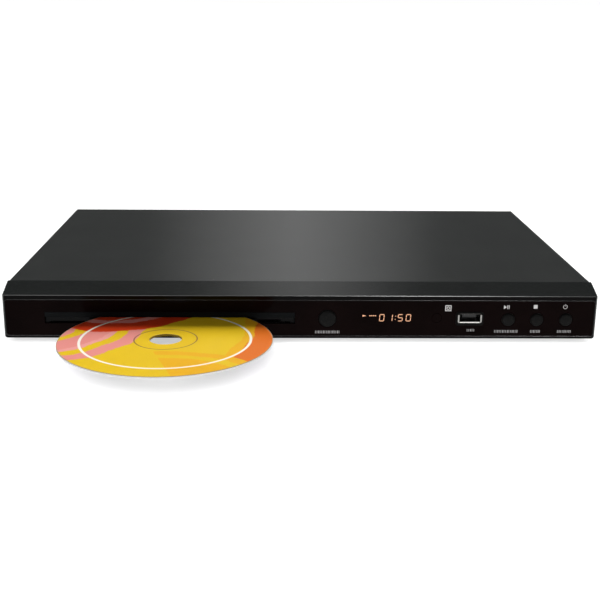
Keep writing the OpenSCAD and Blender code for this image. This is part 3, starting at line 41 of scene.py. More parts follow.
MM = 0.001  # a millimetre in metres; lengths below are in millimetres where nothing else is said

# Places in the shared frame
WINDOW_Y = -70.8  # face of the glossy window
DISC = (-77.0, -111.0)  # middle of the disc, in X and Y
JACK_Y = 171.0  # rear end of the phono jacks


def add_object(name, data):
    thing = bpy.data.objects.new(name, data)
    scene.collection.objects.link(thing)
    return thing


# ---- Camera, light and floor ----

def add_camera():
    """The photograph's pinhole camera, fitted to the object's outline, 16 degrees above the horizon."""
    place = (-0.01525, -0.65583, 0.20009)  # metres
    pitch, yaw, roll = 0.28468, 0.02419, 0.00937  # radians
    focal, frame_width = 1023.7, 600  # pixels
    ahead = Vector((math.sin(yaw) * math.cos(pitch), math.cos(yaw) * math.cos(pitch), -math.sin(pitch)))
    right = Vector((math.cos(yaw), -math.sin(yaw), 0))
    up = right.cross(ahead)
    c, s = math.cos(roll), math.sin(roll)
    right, up = right * c + up * s, up * c - right * s
    turn = Matrix((right, up, -ahead)).transposed().to_4x4()
    data = bpy.data.cameras.new("camera")
    data.sensor_width = 36
    data.lens = focal * data.sensor_width / frame_width
    data.clip_start, data.clip_end = 0.01, 200
    camera = add_object("camera", data)
    camera.matrix_world = Matrix.Translation(place) @ turn
    scene.camera = camera


def add_sun(name, energy, azimuth, elevation, spread):
    """A soft lamp that no gloss mirrors. Angles are in degrees, the azimuth from the front towards the right."""
    data = bpy.data.lights.new(name, "SUN")
    data.energy = energy
    data.angle = math.radians(spread)
    sun = add_object(name, data)
    a, e = math.radians(azimuth), math.radians(elevation)
    towards = Vector((math.sin(a) * math.cos(e), -math.cos(a) * math.cos(e), math.sin(e)))
    sun.rotation_mode = "QUATERNION"
    sun.rotation_quaternion = towards.to_track_quat("Z", "Y")
    sun.visible_glossy = False
    return sun


class Tree:
    """A node tree with short calls for adding nodes and wiring them."""

    def __init__(self, tree):
        self.tree = tree
        self.nodes = tree.nodes

    def add(self, kind, *values, **more):
        """A node. values go into its inputs by place.

        Of more, what the node has as an attribute is set, and the rest are inputs by name, with _ for a space."""
        n = self.nodes.new("ShaderNode" + kind)
        for key, value in more.items():
            if hasattr(n, key):
                setattr(n, key, value)
        for i, value in enumerate(values):
            self.put(n.inputs[i], value)
        for key, value in more.items():
            if not hasattr(n, key):
                self.put(n.inputs[key.replace("_", " ")], value)
        return n

    def put(self, socket, value):
        """Wires an output to the socket or sets its value. None leaves it as it is."""
        if isinstance(value, bpy.types.NodeSocket):
            self.tree.links.new(value, socket)
        elif value is not None:
            socket.default_value = value

    def math(self, operation, *values):
        return self.add("Math", *values, operation=operation).outputs[0]

    def times(self, first, *others):
        for other in others:
            first = self.math("MULTIPLY", first, other)
        return first

    def invert(self, value):
        return self.math("SUBTRACT", 1.0, value)

    def smooth(self, value, low, high):
        """0 under low, 1 over high, smooth in between."""
        n = self.add("MapRange", value, low, high, 0.0, 1.0, interpolation_type="SMOOTHSTEP")
        return n.outputs[0]

    def ramp(self, value, low, high, a, b):
        """A number that goes straight from a to b as the value goes from low to high."""
        return self.add("MapRange", value, low, high, a, b).outputs[0]

    def between(self, factor, a, b):
        """A number that goes from a to b with the factor."""
        return self.ramp(factor, 0.0, 1.0, a, b)

    def mix(self, factor, a, b):
        """A colour that goes from a to b with the factor."""
        n = self.add("Mix", data_type="RGBA")
        self.put(n.inputs[0], factor)
        self.put(n.inputs[6], a)
        self.put(n.inputs[7], b)
        return n.outputs[2]


def add_world():
    """White to the camera. To all else a dark room with a strip of light behind and a lamp high in front.

    x, y and z say which way a ray goes: to the right, to the rear and up."""
    world = bpy.data.worlds.new("studio")
    scene.world = world
    world.use_nodes = True
    t = Tree(world.node_tree)
    t.nodes.clear()
    x, y, z = t.add("SeparateXYZ", t.add("TexCoord").outputs["Generated"]).outputs

    def ridge(centre, half):
        """1 at the centre, falling straight to 0 at half of the width to each side."""
        away = t.math("ABSOLUTE", t.math("SUBTRACT", x, centre))
        return t.math("MAXIMUM", 0.0, t.invert(t.math("DIVIDE", away, half)))

    dark, lamp_power = 0.05, 4.9
    middle = t.ramp(z, 0.4, 0.7, 0.019, 0.024)
    half_width = t.ramp(z, 0.4, 0.7, 0.138, 0.103)
    climb = t.ramp(z, 0.18, 0.65, 0.285, 1.136)
    ends = t.times(t.smooth(z, 0.03, 0.12), t.ramp(z, 0.87, 0.93, 1.0, 0.3))
    strip = t.times(ridge(middle, half_width), t.smooth(y, 0.0, 0.15), climb, ends)
    in_front = t.times(t.smooth(z, 0.80, 0.88), t.invert(t.smooth(y, -0.30, -0.05)))
    glow = t.math("ADD", ridge(0.144, 0.098), t.times(ridge(-0.24, 0.2), 0.12))
    lamp = t.times(t.math("ADD", 0.03, glow), in_front)
    light = t.math("ADD", t.math("ADD", dark, strip), t.times(lamp, lamp_power))
    seen = t.add("LightPath").outputs["Is Camera Ray"]
    room = t.add("Background", (1, 1, 1, 1), light)
    white = t.add("Background", (1, 1, 1, 1), 1.0)
    out = t.add("OutputWorld")
    t.put(out.inputs[0], t.add("MixShader", seen, room.outputs[0], white.outputs[0]).outputs[0])


def add_floor():
    """A light table: white that glows by itself, so that shadows stay pale."""
    r = 60.0  # metres from the middle to each side
    mesh = bpy.data.meshes.new("floor")
    mesh.from_pydata([(-r, -r, 0), (r, -r, 0), (r, r, 0), (-r, r, 0)], [], [(0, 1, 2, 3)])
    floor = add_object("floor", mesh)
    white = bpy.data.materials.new("floor_white")
    white.use_nodes = True
    inputs = white.node_tree.nodes["Principled BSDF"].inputs
    inputs["Base Color"].default_value = (0.8, 0.8, 0.8, 1)
    inputs["Roughness"].default_value = 0.9
    inputs["Specular IOR Level"].default_value = 0.0
    inputs["Emission Color"].default_value = (1, 1, 1, 1)
    inputs["Emission Strength"].default_value = 0.45
    mesh.materials.append(white)
    return floor


def flag_off(sun, floor, state):
    """As a flag in a studio does: keeps a lamp off the floor (EXCLUDE) or off all the rest (INCLUDE)."""
    lit = bpy.data.collections.new(sun.name + "_lights")
    lit.objects.link(floor)
    lit.collection_objects[0].light_linking.link_state = state
    sun.light_linking.receiver_collection = lit


scene.view_settings.view_transform = "Standard"
scene.view_settings.look = "None"
add_camera()
add_world()
table = add_floor()
for lamp in (
    add_sun("front", energy=0.15, azimuth=4, elevation=38, spread=30),
    add_sun("skim", energy=0.3, azimuth=-8, elevation=10, spread=14),
    add_sun("rear", energy=7.0, azimuth=178, elevation=29, spread=30),
):
    flag_off(lamp, table, "EXCLUDE")
flag_off(add_sun("table", energy=6.6, azimuth=0, elevation=24, spread=44), table, "INCLUDE")


# ---- Materials ----

class Material(Tree):
    """A Principled material whose textures read the object's own coordinates, in millimetres."""

    def __init__(self, name, rough=0.5, metal=0.0, **fixed):
        self.name = name
        self.mat = bpy.data.materials.new(name)
        self.mat.use_nodes = True
        super().__init__(self.mat.node_tree)
        self.bsdf = self.nodes["Principled BSDF"]
        self.set(Roughness=rough, Metallic=metal, **fixed)
        coords = self.add("TexCoord")
        self.at = self.add("VectorMath", coords.outputs["Object"], operation="SCALE", Scale=1000.0).outputs[0]
        self.facing = coords.outputs["Normal"]
        self.x, self.y, self.z = self.add("SeparateXYZ", self.at).outputs

    def set(self, **values):
        """Sets or wires inputs of the Principled shader, each by its name with _ for a space."""
        for key, value in values.items():
            self.put(self.bsdf.inputs[key.replace("_", " ")], value)

    def stretched(self, *scales):
        return self.add("VectorMath", self.at, scales, operation="MULTIPLY").outputs[0]

    def noise(self, scale, detail=2.0, rough=0.5, at=None):
        """Noise whose features are about 1 / scale millimetres wide."""
        n = self.add("TexNoise", Vector=at or self.at, Scale=scale, Detail=detail, Roughness=rough)
        return n.outputs[0]

    def colour(self, value):
        self.set(Base_Color=value)

    def tones(self, base, spread, scale=0.06):
        """The base colour, lighter and darker by spread in soft patches with fine specks."""
        dark = [c * (1 - spread) for c in base] + [1]
        light = [min(1, c * (1 + spread)) for c in base] + [1]
        patches = self.noise(scale, 4.0, 0.65)
        self.colour(self.mix(self.smooth(patches, 0.3, 0.7), dark, light))

    def roughness(self, low, high, scale=0.2):
        self.set(Roughness=self.between(self.noise(scale, 3.0, 0.6), low, high))

    def bump(self, height, depth, edge=0.0):
        """height is a 0 to 1 field and depth its size in millimetres; edge softens hard edges by that radius."""
        n = self.add("Bump", Strength=1.0, Distance=depth * MM, Height=height)
        if edge:
            self.put(n.inputs["Normal"], self.add("Bevel", edge * MM, samples=4).outputs[0])
        self.set(Normal=n.outputs[0])

    def leaned(self, lean):
        """The way the surface faces, leaned over by a vector."""
        way = self.add("VectorMath", self.facing, lean, operation="ADD").outputs[0]
        return self.add("VectorMath", way, operation="NORMALIZE").outputs[0]

    def up(self):
        """How far the surface faces up: 1 on a level top, 0 on an upright side."""
        return self.add("SeparateXYZ", self.facing).outputs[2]

    def distance(self, ca, cb, a, b):
        """How far a and b lie from a centre in their plane."""
        da = self.math("SUBTRACT", a, ca)
        db = self.math("SUBTRACT", b, cb)
        return self.math("SQRT", self.math("ADD", self.times(da, da), self.times(db, db)))

    def band(self, value, low, high, soft):
        """1 where the value lies between low and high."""
        return self.times(self.smooth(value, low - soft, low + soft),
                          self.invert(self.smooth(value, high - soft, high + soft)))

    def waves(self, value, rate):
        return self.math("SINE", self.times(value, rate))


def moulding(name, base, low, high, grain=3.0, depth=0.01, tone=0.1, edge=0.15, **fixed):
    """Moulded plastic: spark-eroded grain, slight flow marks and softened edges. low and high are its roughness."""
    m = Material(name, **fixed)
    m.tones(base, tone)
    m.roughness(low, high, 0.15)
    m.bump(m.noise(grain, 3.0, 0.6), depth, edge)
    return m


def sheet_steel(name, base, low, high, along, spangle=0.0):
    """Rolled sheet with fine lines along one axis, and the patches of a zinc coat where spangle is set."""
    m = Material(name, metal=1.0)
    stretch = [1.2, 1.2, 1.2]
    stretch[along] = 0.03
    lines = m.noise(4.0, 3.0, 0.7, m.stretched(*stretch))
    field = m.smooth(lines, 0.3, 0.7)
    if spangle:
        cells = m.add("TexVoronoi", Vector=m.at, Scale=0.12, feature="F1").outputs["Color"]
        grey = m.add("RGBToBW", cells).outputs[0]
        field = m.add("Mix", spangle, None, field, grey).outputs[0]
    dark = [c * 0.82 for c in base] + [1]
    light = [min(1, c * 1.12) for c in base] + [1]
    m.colour(m.mix(field, dark, light))
    m.set(Roughness=m.between(field, low, high))
    m.bump(lines, 0.004, 0.1)
    return m


def bright_metal(name, base, rough, edge=0.08):
    """Plated or ground metal, slightly uneven."""
    m = Material(name, metal=1.0)
    m.tones(base, 0.05, 0.4)
    m.roughness(rough * 0.7, rough * 1.4, 0.8)
    m.bump(m.noise(1.5, 2.0), 0.002, edge)
    return m


def cover_paint():
    """Satin paint on the cover: orange peel and fine dust, with faint streaks from front to rear."""
    m = Material("cover_paint", Specular_IOR_Level=0.5)
    m.tones((0.0250, 0.0270, 0.0262), 0.07, 0.03)
    streaks = m.noise(0.5, 3.0, 0.6, m.stretched(1.0, 0.01, 1.0))
    m.set(Roughness=m.between(streaks, 0.15, 0.21))
    m.bump(m.noise(1.1, 3.0, 0.55), 0.0015, 0.3)
    return m


def panel_plastic():
    """Satin black strip on top. Its rounded front edge gets a bright metal colour by the way it faces: a painted
    highlight. Its upright faces get a near black metal copy of the finish that hardly shines: painted shade.
    """
    m = Material("panel_plastic", Specular_IOR_Level=0.5)
    _, ny, nz = m.add("SeparateXYZ", m.facing).outputs
    ahead = m.times(ny, -1.0)
    # Painted shade: the upright faces take a near black metal copy of the finish
    upright = m.smooth(ahead, 0.975, 0.995)
    # Painted highlight: the rounded front edge takes a bright metal colour
    edge = m.times(m.band(ahead, 0.42, 0.96, 0.04), m.smooth(nz, 0.0, 0.1))
    patches = m.smooth(m.noise(0.05, 4.0, 0.65), 0.3, 0.7)
    strip = m.mix(patches, (0.0197, 0.0222, 0.0214, 1), (0.0226, 0.0251, 0.0243, 1))
    m.colour(m.mix(edge, m.mix(upright, strip, (0.0051, 0.0048, 0.0048, 1)), (0.38, 0.38, 0.38, 1)))
    m.set(Metallic=m.math("MAXIMUM", upright, edge))
    m.roughness(0.14, 0.2, 0.1)
    m.bump(m.noise(2.4, 3.0, 0.6), 0.001)
    return m


def window_gloss():
    """Polished black acrylic: nearly flat, with faint wiping marks."""
    m = Material("window_gloss", Specular_IOR_Level=0.016)
    m.tones((0.0046, 0.0021, 0.0020), 0.2, 0.04)
    wipes = m.noise(0.35, 4.0, 0.6, m.stretched(0.25, 1.0, 1.0))
    m.set(Roughness=m.between(m.smooth(wipes, 0.35, 0.8), 0.03, 0.09))
    m.bump(m.noise(0.02, 1.0), 0.01)
    return m


def port_shell():
    """Nickel-plated shell with a rolled lip: each side leans outwards and mirrors another part of the room. Its left
    and right sides are also coloured darker: painted shade.
    """
    m = Material("shell_metal", metal=1.0)
    m.roughness(0.10, 0.2, 0.8)
    # How far out from the shell's middle: -0.9 at its left edge and at its foot
    lean_x = m.times(m.ramp(m.x, 93.8, 108.2, -1.0, 1.0), 0.9)
    lean_z = m.times(m.ramp(m.z, 14.94, 20.96, -1.0, 0.76), 0.9)
    far_x, far_z = m.math("ABSOLUTE", lean_x), m.math("ABSOLUTE", lean_z)
    plate = m.mix(m.smooth(m.noise(0.8, 4.0, 0.65), 0.3, 0.7), (0.76, 0.75, 0.72, 1), (0.84, 0.83, 0.80, 1))
    # Painted shade: the left and right sides are mixed to a darker grey
    m.colour(m.mix(m.smooth(far_x, 0.70, 0.78), plate, (0.32, 0.315, 0.30, 1)))
    side = m.add("CombineXYZ", m.times(lean_x, m.math("POWER", far_x, 9.0)), 0.0, m.times(lean_z, far_z))
    m.set(Normal=m.leaned(side.outputs[0]))
    return m


def zinc_screw():
    m = Material("screw_steel", metal=1.0)
    m.tones((0.62, 0.62, 0.60), 0.12, 0.5)
    m.roughness(0.22, 0.4, 1.2)
    m.bump(m.noise(3.0, 2.0), 0.004, 0.15)
    return m


def board(name, base, copper):
    """Circuit board: solder mask over tracks in two directions, with plated pads."""
    m = Material(name, Specular_IOR_Level=0.5)

    def lanes(at, scale, grey, width, **more):
        """1 along the joints of a brick pattern, and 0 or grey between them."""
        bricks = m.add("TexBrick", Vector=at, Scale=scale, Color1=(0, 0, 0, 1), Color2=(grey, grey, grey, 1),
                       Mortar=(1, 1, 1, 1), Mortar_Size=width, **more)
        return m.add("RGBToBW", bricks.outputs["Color"]).outputs[0]

    across = m.add("VectorRotate", m.at, Angle=math.pi / 2).outputs[0]
    tracks = m.math("MAXIMUM", lanes(m.at, 0.21, 0.4, 0.03, offset=0.37), lanes(across, 0.13, 0.3, 0.02))
    spots = m.add("TexVoronoi", Vector=m.at, Scale=0.42, feature="F1").outputs["Distance"]
    pads = m.invert(m.smooth(spots, 0.1, 0.14))
    mask = m.mix(tracks, [*base, 1], [*[c * 1.7 for c in base], 1])
    m.colour(m.mix(pads, mask, [*copper, 1]))
    m.set(Metallic=m.between(pads, 0.0, 0.9), Roughness=m.between(tracks, 0.38, 0.3))
    m.bump(m.math("MAXIMUM", tracks, pads), 0.03)
    return m


def disc_print():
    """Printed lacquer over polycarbonate: sweeping bands in warm colours, a white ring and the clear hub.

    The underside is a mirror with its fine spiral."""
    m = Material("disc_print", Specular_IOR_Level=0.05)
    x0 = m.math("SUBTRACT", m.x, DISC[0])
    y0 = m.math("SUBTRACT", m.y, DISC[1])
    r = m.distance(0, 0, x0, y0)

    def stray(scale, detail, rough, size):
        """Millimetres to and fro, from noise."""
        return m.times(m.math("SUBTRACT", m.noise(scale, detail, rough), 0.5), size)

    torn = m.math("ADD", stray(0.045, 2.0, 0.4, 9.0), stray(0.55, 4.0, 0.7, 3.2))
    reach = 150.0  # where the last band of a sweep ends

    def sweep(away, stops):
        """Bands with torn edges, from pairs of the distance where a band starts and its colour."""
        n = m.add("ValToRGB", m.math("DIVIDE", m.math("ADD", away, torn), reach))
        ramp = n.color_ramp
        ramp.interpolation = "CONSTANT"
        ramp.elements.remove(ramp.elements[1])
        ramp.elements[0].position = 0.0
        ramp.elements[0].color = stops[0][1]
        for start, colour in stops[1:]:
            ramp.elements.new(start / reach).color = colour
        return n.outputs[0]

    pink = (0.68, 0.23, 0.22, 1)
    pale = (0.71, 0.29, 0.28, 1)
    yellow = (0.68, 0.45, 0.008, 1)
    gold = (0.70, 0.36, 0.005, 1)
    orange = (0.64, 0.125, 0.008, 1)
    red = (0.56, 0.020, 0.004, 1)
    from_left = m.distance(-75, 20, x0, y0)
    from_low = m.distance(6, -78, x0, y0)
    from_top = m.distance(-34, 66, x0, y0)
    base = sweep(from_left, [(0, pink), (22, yellow), (28, pink), (42, pale), (46, yellow), (53, pink),
                             (62, yellow), (118, gold), (124, orange), (140, gold)])
    low = sweep(from_low, [(0, gold), (46, yellow), (52, gold), (58, yellow), (150, yellow)])
    upper = sweep(from_top, [(0, red), (30, pink), (36, red), (52, yellow), (150, yellow)])
    right_part = m.smooth(m.math("ADD", x0, m.times(y0, 0.35)), -12.2, -11.8)
    near_low = m.times(right_part, m.invert(m.smooth(from_low, 57.8, 58.2)))
    near_top = m.invert(m.smooth(m.math("ADD", from_top, torn), 51.8, 52.2))
    fibres = m.noise(1.2, 4.0, 0.7)
    ring = m.band(r, 46.9, 48.4, 0.12)
    shaded_groove = m.band(r, 17.2, 17.9, 0.15)
    rim = m.smooth(r, 59.5, 59.7)
    art = m.mix(near_low, base, low)
    art = m.mix(near_top, art, upper)
    art = m.mix(m.between(fibres, 0.0, 0.06), art, (1.0, 0.8, 0.2, 1))
    art = m.mix(ring, art, (0.82, 0.79, 0.70, 1))
    # Painted shade: the stacking ring's groove is coloured dark brown
    art = m.mix(shaded_groove, art, (0.20, 0.10, 0.05, 1))
    art = m.mix(rim, art, (0.42, 0.34, 0.22, 1))
    mirror = m.mix(m.band(r, 22.5, 58.5, 0.3), (0.90, 0.90, 0.88, 1), (0.58, 0.50, 0.66, 1))
    top = m.smooth(m.up(), 0.3, 0.5)
    hub = m.invert(m.smooth(r, 9.0, 9.15))
    m.colour(m.mix(hub, m.mix(top, mirror, art), (0.80, 0.80, 0.80, 1)))
    m.set(Alpha=m.between(hub, 1.0, 0.02),
          Metallic=m.times(m.invert(top), m.band(r, 20, 59, 0.2)),
          Roughness=m.between(hub, m.between(fibres, 0.26, 0.36), 0.1))
    m.bump(m.math("ADD", m.times(m.waves(r, 14.0), 0.1), m.invert(shaded_groove)), 0.01, 0.1)
    return m


def felt():
    m = Material("felt", rough=0.95, Sheen_Weight=0.5)
    m.tones((0.012, 0.012, 0.013), 0.3, 2.0)
    m.bump(m.noise(6.0, 4.0, 0.8, m.stretched(1, 1, 0.3)), 0.15)
    return m


def rubber(name, base):
    m = Material(name, Specular_IOR_Level=0.3)
    m.tones(base, 0.2, 0.4)
    m.roughness(0.6, 0.8, 0.8)
    m.bump(m.noise(2.5, 4.0, 0.7), 0.03, 0.3)
    return m


def button_plastic():
    """Satin black caps, dimpled all over so that they grip the finger."""
    m = Material("button_plastic", Specular_IOR_Level=0.07)
    cells = m.add("TexVoronoi", Vector=m.stretched(1, 0, 1), Scale=0.95, feature="F1").outputs["Distance"]
    dimple = m.smooth(cells, 0.1, 0.55)
    m.colour(m.mix(dimple, (0.0090, 0.0090, 0.0086, 1), (0.0048, 0.0048, 0.0046, 1)))
    m.set(Roughness=m.between(dimple, 0.32, 0.42))
    m.bump(dimple, 0.03, 0.12)
    return m


def split(name, mask_of, first, second):
    """Two finishes on one node. mask_of(m) is 1 where the second lies; each is (colour, roughness, metallic)."""
    m = Material(name)
    mask = mask_of(m)
    patches = m.between(m.noise(0.5, 4.0, 0.6), 0.85, 1.1)
    both = m.mix(mask, [*first[0], 1], [*second[0], 1])
    m.colour(m.add("VectorMath", both, operation="SCALE", Scale=patches).outputs[0])
    m.set(Roughness=m.between(mask, first[1], second[1]), Metallic=m.between(mask, first[2], second[2]))
    m.bump(m.noise(2.5, 3.0, 0.6), 0.008, 0.1)
    return m


def inlet_pins(m):
    """1 on the two pins of the mains inlet."""
    pins = [m.invert(m.smooth(m.distance(x, 17.6, m.x, m.z), 1.25, 1.35)) for x in (146.0, 154.0)]
    return m.math("MAXIMUM", *pins)


FINISHES = [
    sheet_steel("galvanised_steel", (0.56, 0.58, 0.58), 0.25, 0.45, along=0, spangle=0.6),
    moulding("rear_paint", (0.20, 0.205, 0.205), 0.35, 0.45, grain=1.2, depth=0.006, tone=0.06, edge=0.2),
    cover_paint(),
    panel_plastic(),
    window_gloss(),
    moulding("trim_plastic", (0.0060, 0.0067, 0.0072), 0.35, 0.45, depth=0.004, Specular_IOR_Level=0.03),
    felt(),
    rubber("foot_rubber", (0.012, 0.012, 0.012)),
    zinc_screw(),
    button_plastic(),
    moulding("display_plastic", (0.01, 0.011, 0.014), 0.2, 0.3),
    moulding("receiver_plastic", (0.006, 0.005, 0.006), 0.1, 0.2),
    moulding("bezel_plastic", (0.0051, 0.0044, 0.0044), 0.3, 0.4, depth=0.004, Specular_IOR_Level=0.05),
    port_shell(),
    moulding("contact_plastic", (0.010, 0.010, 0.011), 0.4, 0.5),
    board("green_board", (0.012, 0.075, 0.03), (0.75, 0.72, 0.62)),
    board("brown_board", (0.24, 0.13, 0.05), (0.72, 0.70, 0.66)),
    split("switch_plastic", lambda m: m.smooth(m.noise(0.2), 0.48, 0.52),
          ((0.05, 0.05, 0.055), 0.4, 0.0), ((0.06, 0.06, 0.065), 0.45, 0.0)),
    # Conductors side by side
    split("ribbon_plastic", lambda m: m.smooth(m.waves(m.x, 6.28), 0.0, 0.3),
          ((0.80, 0.80, 0.77), 0.35, 0.0), ((0.62, 0.62, 0.60), 0.3, 0.3)),
    # Tinned legs under the chips' bodies
    split("chip_plastic", lambda m: m.invert(m.smooth(m.z, 12.05, 12.15)),
          ((0.012, 0.012, 0.013), 0.45, 0.0), ((0.7, 0.7, 0.68), 0.3, 1.0)),
    sheet_steel("cooler_metal", (0.60, 0.62, 0.64), 0.3, 0.45, along=1),
    # Yellow tape between the ends of the transformer's core
    split("winding_tape", lambda m: m.band(m.z, 14.1, 22.6, 0.1),
          ((0.02, 0.02, 0.021), 0.6, 0.0), ((0.72, 0.46, 0.05), 0.3, 0.0)),
    # Bare aluminium on the capacitors' tops
    split("capacitor_sleeve", lambda m: m.smooth(m.up(), 0.6, 0.8),
          ((0.012, 0.018, 0.035), 0.25, 0.0), ((0.72, 0.73, 0.74), 0.25, 1.0)),
    # Metal caps on the glass
    split("fuse_glass", lambda m: m.smooth(m.waves(m.y, 0.3), -0.2, 0.2),
          ((0.66, 0.70, 0.72), 0.05, 0.0), ((0.72, 0.72, 0.72), 0.2, 1.0)),
    split("inlet_plastic", inlet_pins,
          ((0.010, 0.010, 0.010), 0.45, 0.0), ((0.75, 0.75, 0.74), 0.2, 1.0)),
    bright_metal("jack_metal", (0.78, 0.77, 0.74), 0.18, edge=0.2),
    moulding("socket_plastic", (0.011, 0.011, 0.012), 0.38, 0.5),
    moulding("loader_plastic", (0.022, 0.024, 0.027), 0.4, 0.52, grain=2.0, edge=0.2),
    sheet_steel("bridge_steel", (0.60, 0.61, 0.62), 0.22, 0.38, along=0, spangle=0.2),
    moulding("clamper_plastic", (0.72, 0.72, 0.68), 0.35, 0.45),
    moulding("magnet_ferrite", (0.07, 0.07, 0.075), 0.5, 0.65, grain=4.0, depth=0.02, tone=0.2),
    moulding("tray_plastic", (0.0026, 0.0028, 0.0030), 0.34, 0.44, depth=0.006, Specular_IOR_Level=0.08),
    disc_print(),
    moulding("gear_plastic", (0.74, 0.70, 0.60), 0.35, 0.45, grain=2.0, depth=0.006, tone=0.05, edge=0.1),
    rubber("belt_rubber", (0.012, 0.012, 0.012)),
    moulding("traverse_plastic", (0.03, 0.032, 0.036), 0.4, 0.5),
    rubber("bush_rubber", (0.02, 0.02, 0.024)),
    rubber("turntable_rubber", (0.018, 0.019, 0.021)),
    moulding("sled_plastic", (0.055, 0.06, 0.066), 0.45, 0.6, grain=1.2, depth=0.02, tone=0.2),
    moulding("lens_glass", (0.02, 0.05, 0.10), 0.05, 0.12, grain=0.5, depth=0.001, tone=0.2, edge=0.2,
             Coat_Weight=1.0),
    bright_metal("rod_steel", (0.74, 0.75, 0.76), 0.12),
    # A thread of 3 mm pitch
    split("screw_brass", lambda m: m.smooth(m.waves(m.y, 2.09), 0.2, 0.5),
          ((0.66, 0.52, 0.24), 0.25, 1.0), ((0.30, 0.22, 0.09), 0.4, 1.0)),
]
MATERIALS = {finish.name: finish.mat for finish in FINISHES}
for part in frame["record"]["subparts"]:
    slots = frame["nodes"][part["node"]].data.materials
    slots.clear()
    slots.append(MATERIALS[part["material_slot"]])


# ---- Pieces made here: each rides on the casing ----

def add_piece(name, work, finish):
    """The bmesh as a piece of the object."""
    bmesh.ops.recalc_face_normals(work, faces=work.faces)
    mesh = bpy.data.meshes.new(name)
    work.to_mesh(mesh)
    work.free()
    mesh.materials.append(finish.mat)
    piece = add_object(name, mesh)
    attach(piece, "root")
    return piece


def add_loop(name, rings, finish):
    """A smooth piece through closed rings of points, the last ring joined to the first."""
    work = bmesh.new()
    rows = [[work.verts.new([c * MM for c in point]) for point in ring] for ring in rings]
    for a, b in zip(rows, rows[1:] + rows[:1]):
        for j in range(len(a)):
            k = (j + 1) % len(a)
            work.faces.new((a[j], a[k], b[k], b[j]))
    add_piece(name, work, finish).data.shade_smooth()


# ---- Marks on the window ----

def ink(name, base, glow=0.0):
    m = Material(name)
    m.tones(base, 0.06, 2.0)
    m.bump(m.noise(8.0, 2.0), 0.003)
    if glow:
        m.set(Emission_Color=(*base, 1), Emission_Strength=glow)
    return m


def flat_marks(name, outlines, finish):
    """Outlines in X and Z, each printed as a thin layer that starts just behind the window's face."""
    proud, sunk = 0.03, 0.02
    work = bmesh.new()
    for outline in outlines:
        front = [work.verts.new((x * MM, (WINDOW_Y - proud) * MM, z * MM)) for x, z in outline]
        back = [work.verts.new((x * MM, (WINDOW_Y + sunk) * MM, z * MM)) for x, z in outline]
        work.faces.new(front)
        work.faces.new(back[::-1])
        for i in range(len(outline)):
            j = (i + 1) % len(outline)
            work.faces.new((front[i], back[i], back[j], front[j]))
    add_piece(name, work, finish)


def rect(x0, z0, x1, z1):
    return [(x0, z0), (x1, z0), (x1, z1), (x0, z1)]


def arc_band(cx, cz, r0, r1, start, end, steps=18):
    """A ring's part between two angles, in degrees, cut into quads."""
    quads = []
    for i in range(steps):
        a = math.radians(start + (end - start) * i / steps)
        b = math.radians(start + (end - start) * (i + 1) / steps)
        quads.append([(cx + r * math.cos(way), cz + r * math.sin(way))
                      for r, way in ((r0, a), (r1, a), (r1, b), (r0, b))])
    return quads


SEGMENTS = {"0": "abcdef", "1": "bc", "5": "acdfg"}


def digit(text, x):
    """A seven-segment digit with mitred bars, its low left corner at x, leaning a little."""
    z, w, h = 15.9, 2.6, 4.0
    half, gap, lean = 0.18, 0.09, 0.08  # half of a bar's width, the gap at its ends, and the lean

    def bar(x0, z0, x1, z1):
        if z0 == z1:
            pts = [(x0 + gap, z0), (x0 + gap + half, z0 + half), (x1 - gap - half, z0 + half),
                   (x1 - gap, z0), (x1 - gap - half, z0 - half), (x0 + gap + half, z0 - half)]
        else:
            pts = [(x0, z0 + gap), (x0 + half, z0 + gap + half), (x0 + half, z1 - gap - half),
                   (x0, z1 - gap), (x0 - half, z1 - gap - half), (x0 - half, z0 + gap + half)]
        return [(px + (pz - z) * lean, pz) for px, pz in pts]

    m = z + h / 2
    places = {
        "a": (x, z + h, x + w, z + h), "b": (x + w, m, x + w, z + h), "c": (x + w, z, x + w, m),
        "d": (x, z, x + w, z), "e": (x, z, x, m), "f": (x, m, x, z + h), "g": (x, m, x + w, m),
    }
    return [bar(*places[s]) for s in SEGMENTS[text]]


def caption(x0, x1, z0, z1, seed):
    """A row of plain ticks of one height, in place of a word."""
    spacing, thin, thick = 0.95, 0.34, 0.5
    ticks = []
    count = max(3, round((x1 - x0) / spacing))
    step = (x1 - x0) / count
    for i in range(count):
        w = thin if (i * 7 + seed) % 3 else thick
        ticks.append(rect(x0 + i * step, z0, x0 + i * step + w, z1))
    return ticks


# The white print glows faintly by itself: painted light
WHITE_WITH_PAINTED_GLOW = ink("mark_white", (0.62, 0.605, 0.60), 0.12)
SOFT_WHITE = ink("caption_white", (0.46, 0.45, 0.45))
ORANGE = ink("display_glow", (0.10, 0.052, 0.030), 12.0)

numbers = []
for text, x in (("0", 46.6), ("1", 51.6), ("5", 57.7), ("0", 62.6)):
    numbers += digit(text, x)
numbers += [rect(56.0, 16.7, 56.4, 17.1), rect(56.2, 18.7, 56.6, 19.1)]
flat_marks("display_numbers", numbers, ORANGE)
arrow = [(36.5, 18.6), (38.6, 19.1), (36.5, 19.6)]
dashes = [rect(40.6 + i * 1.1, 18.9, 41.3 + i * 1.1, 19.4) for i in range(4)]
flat_marks("display_signs", [arrow, *dashes], ORANGE)

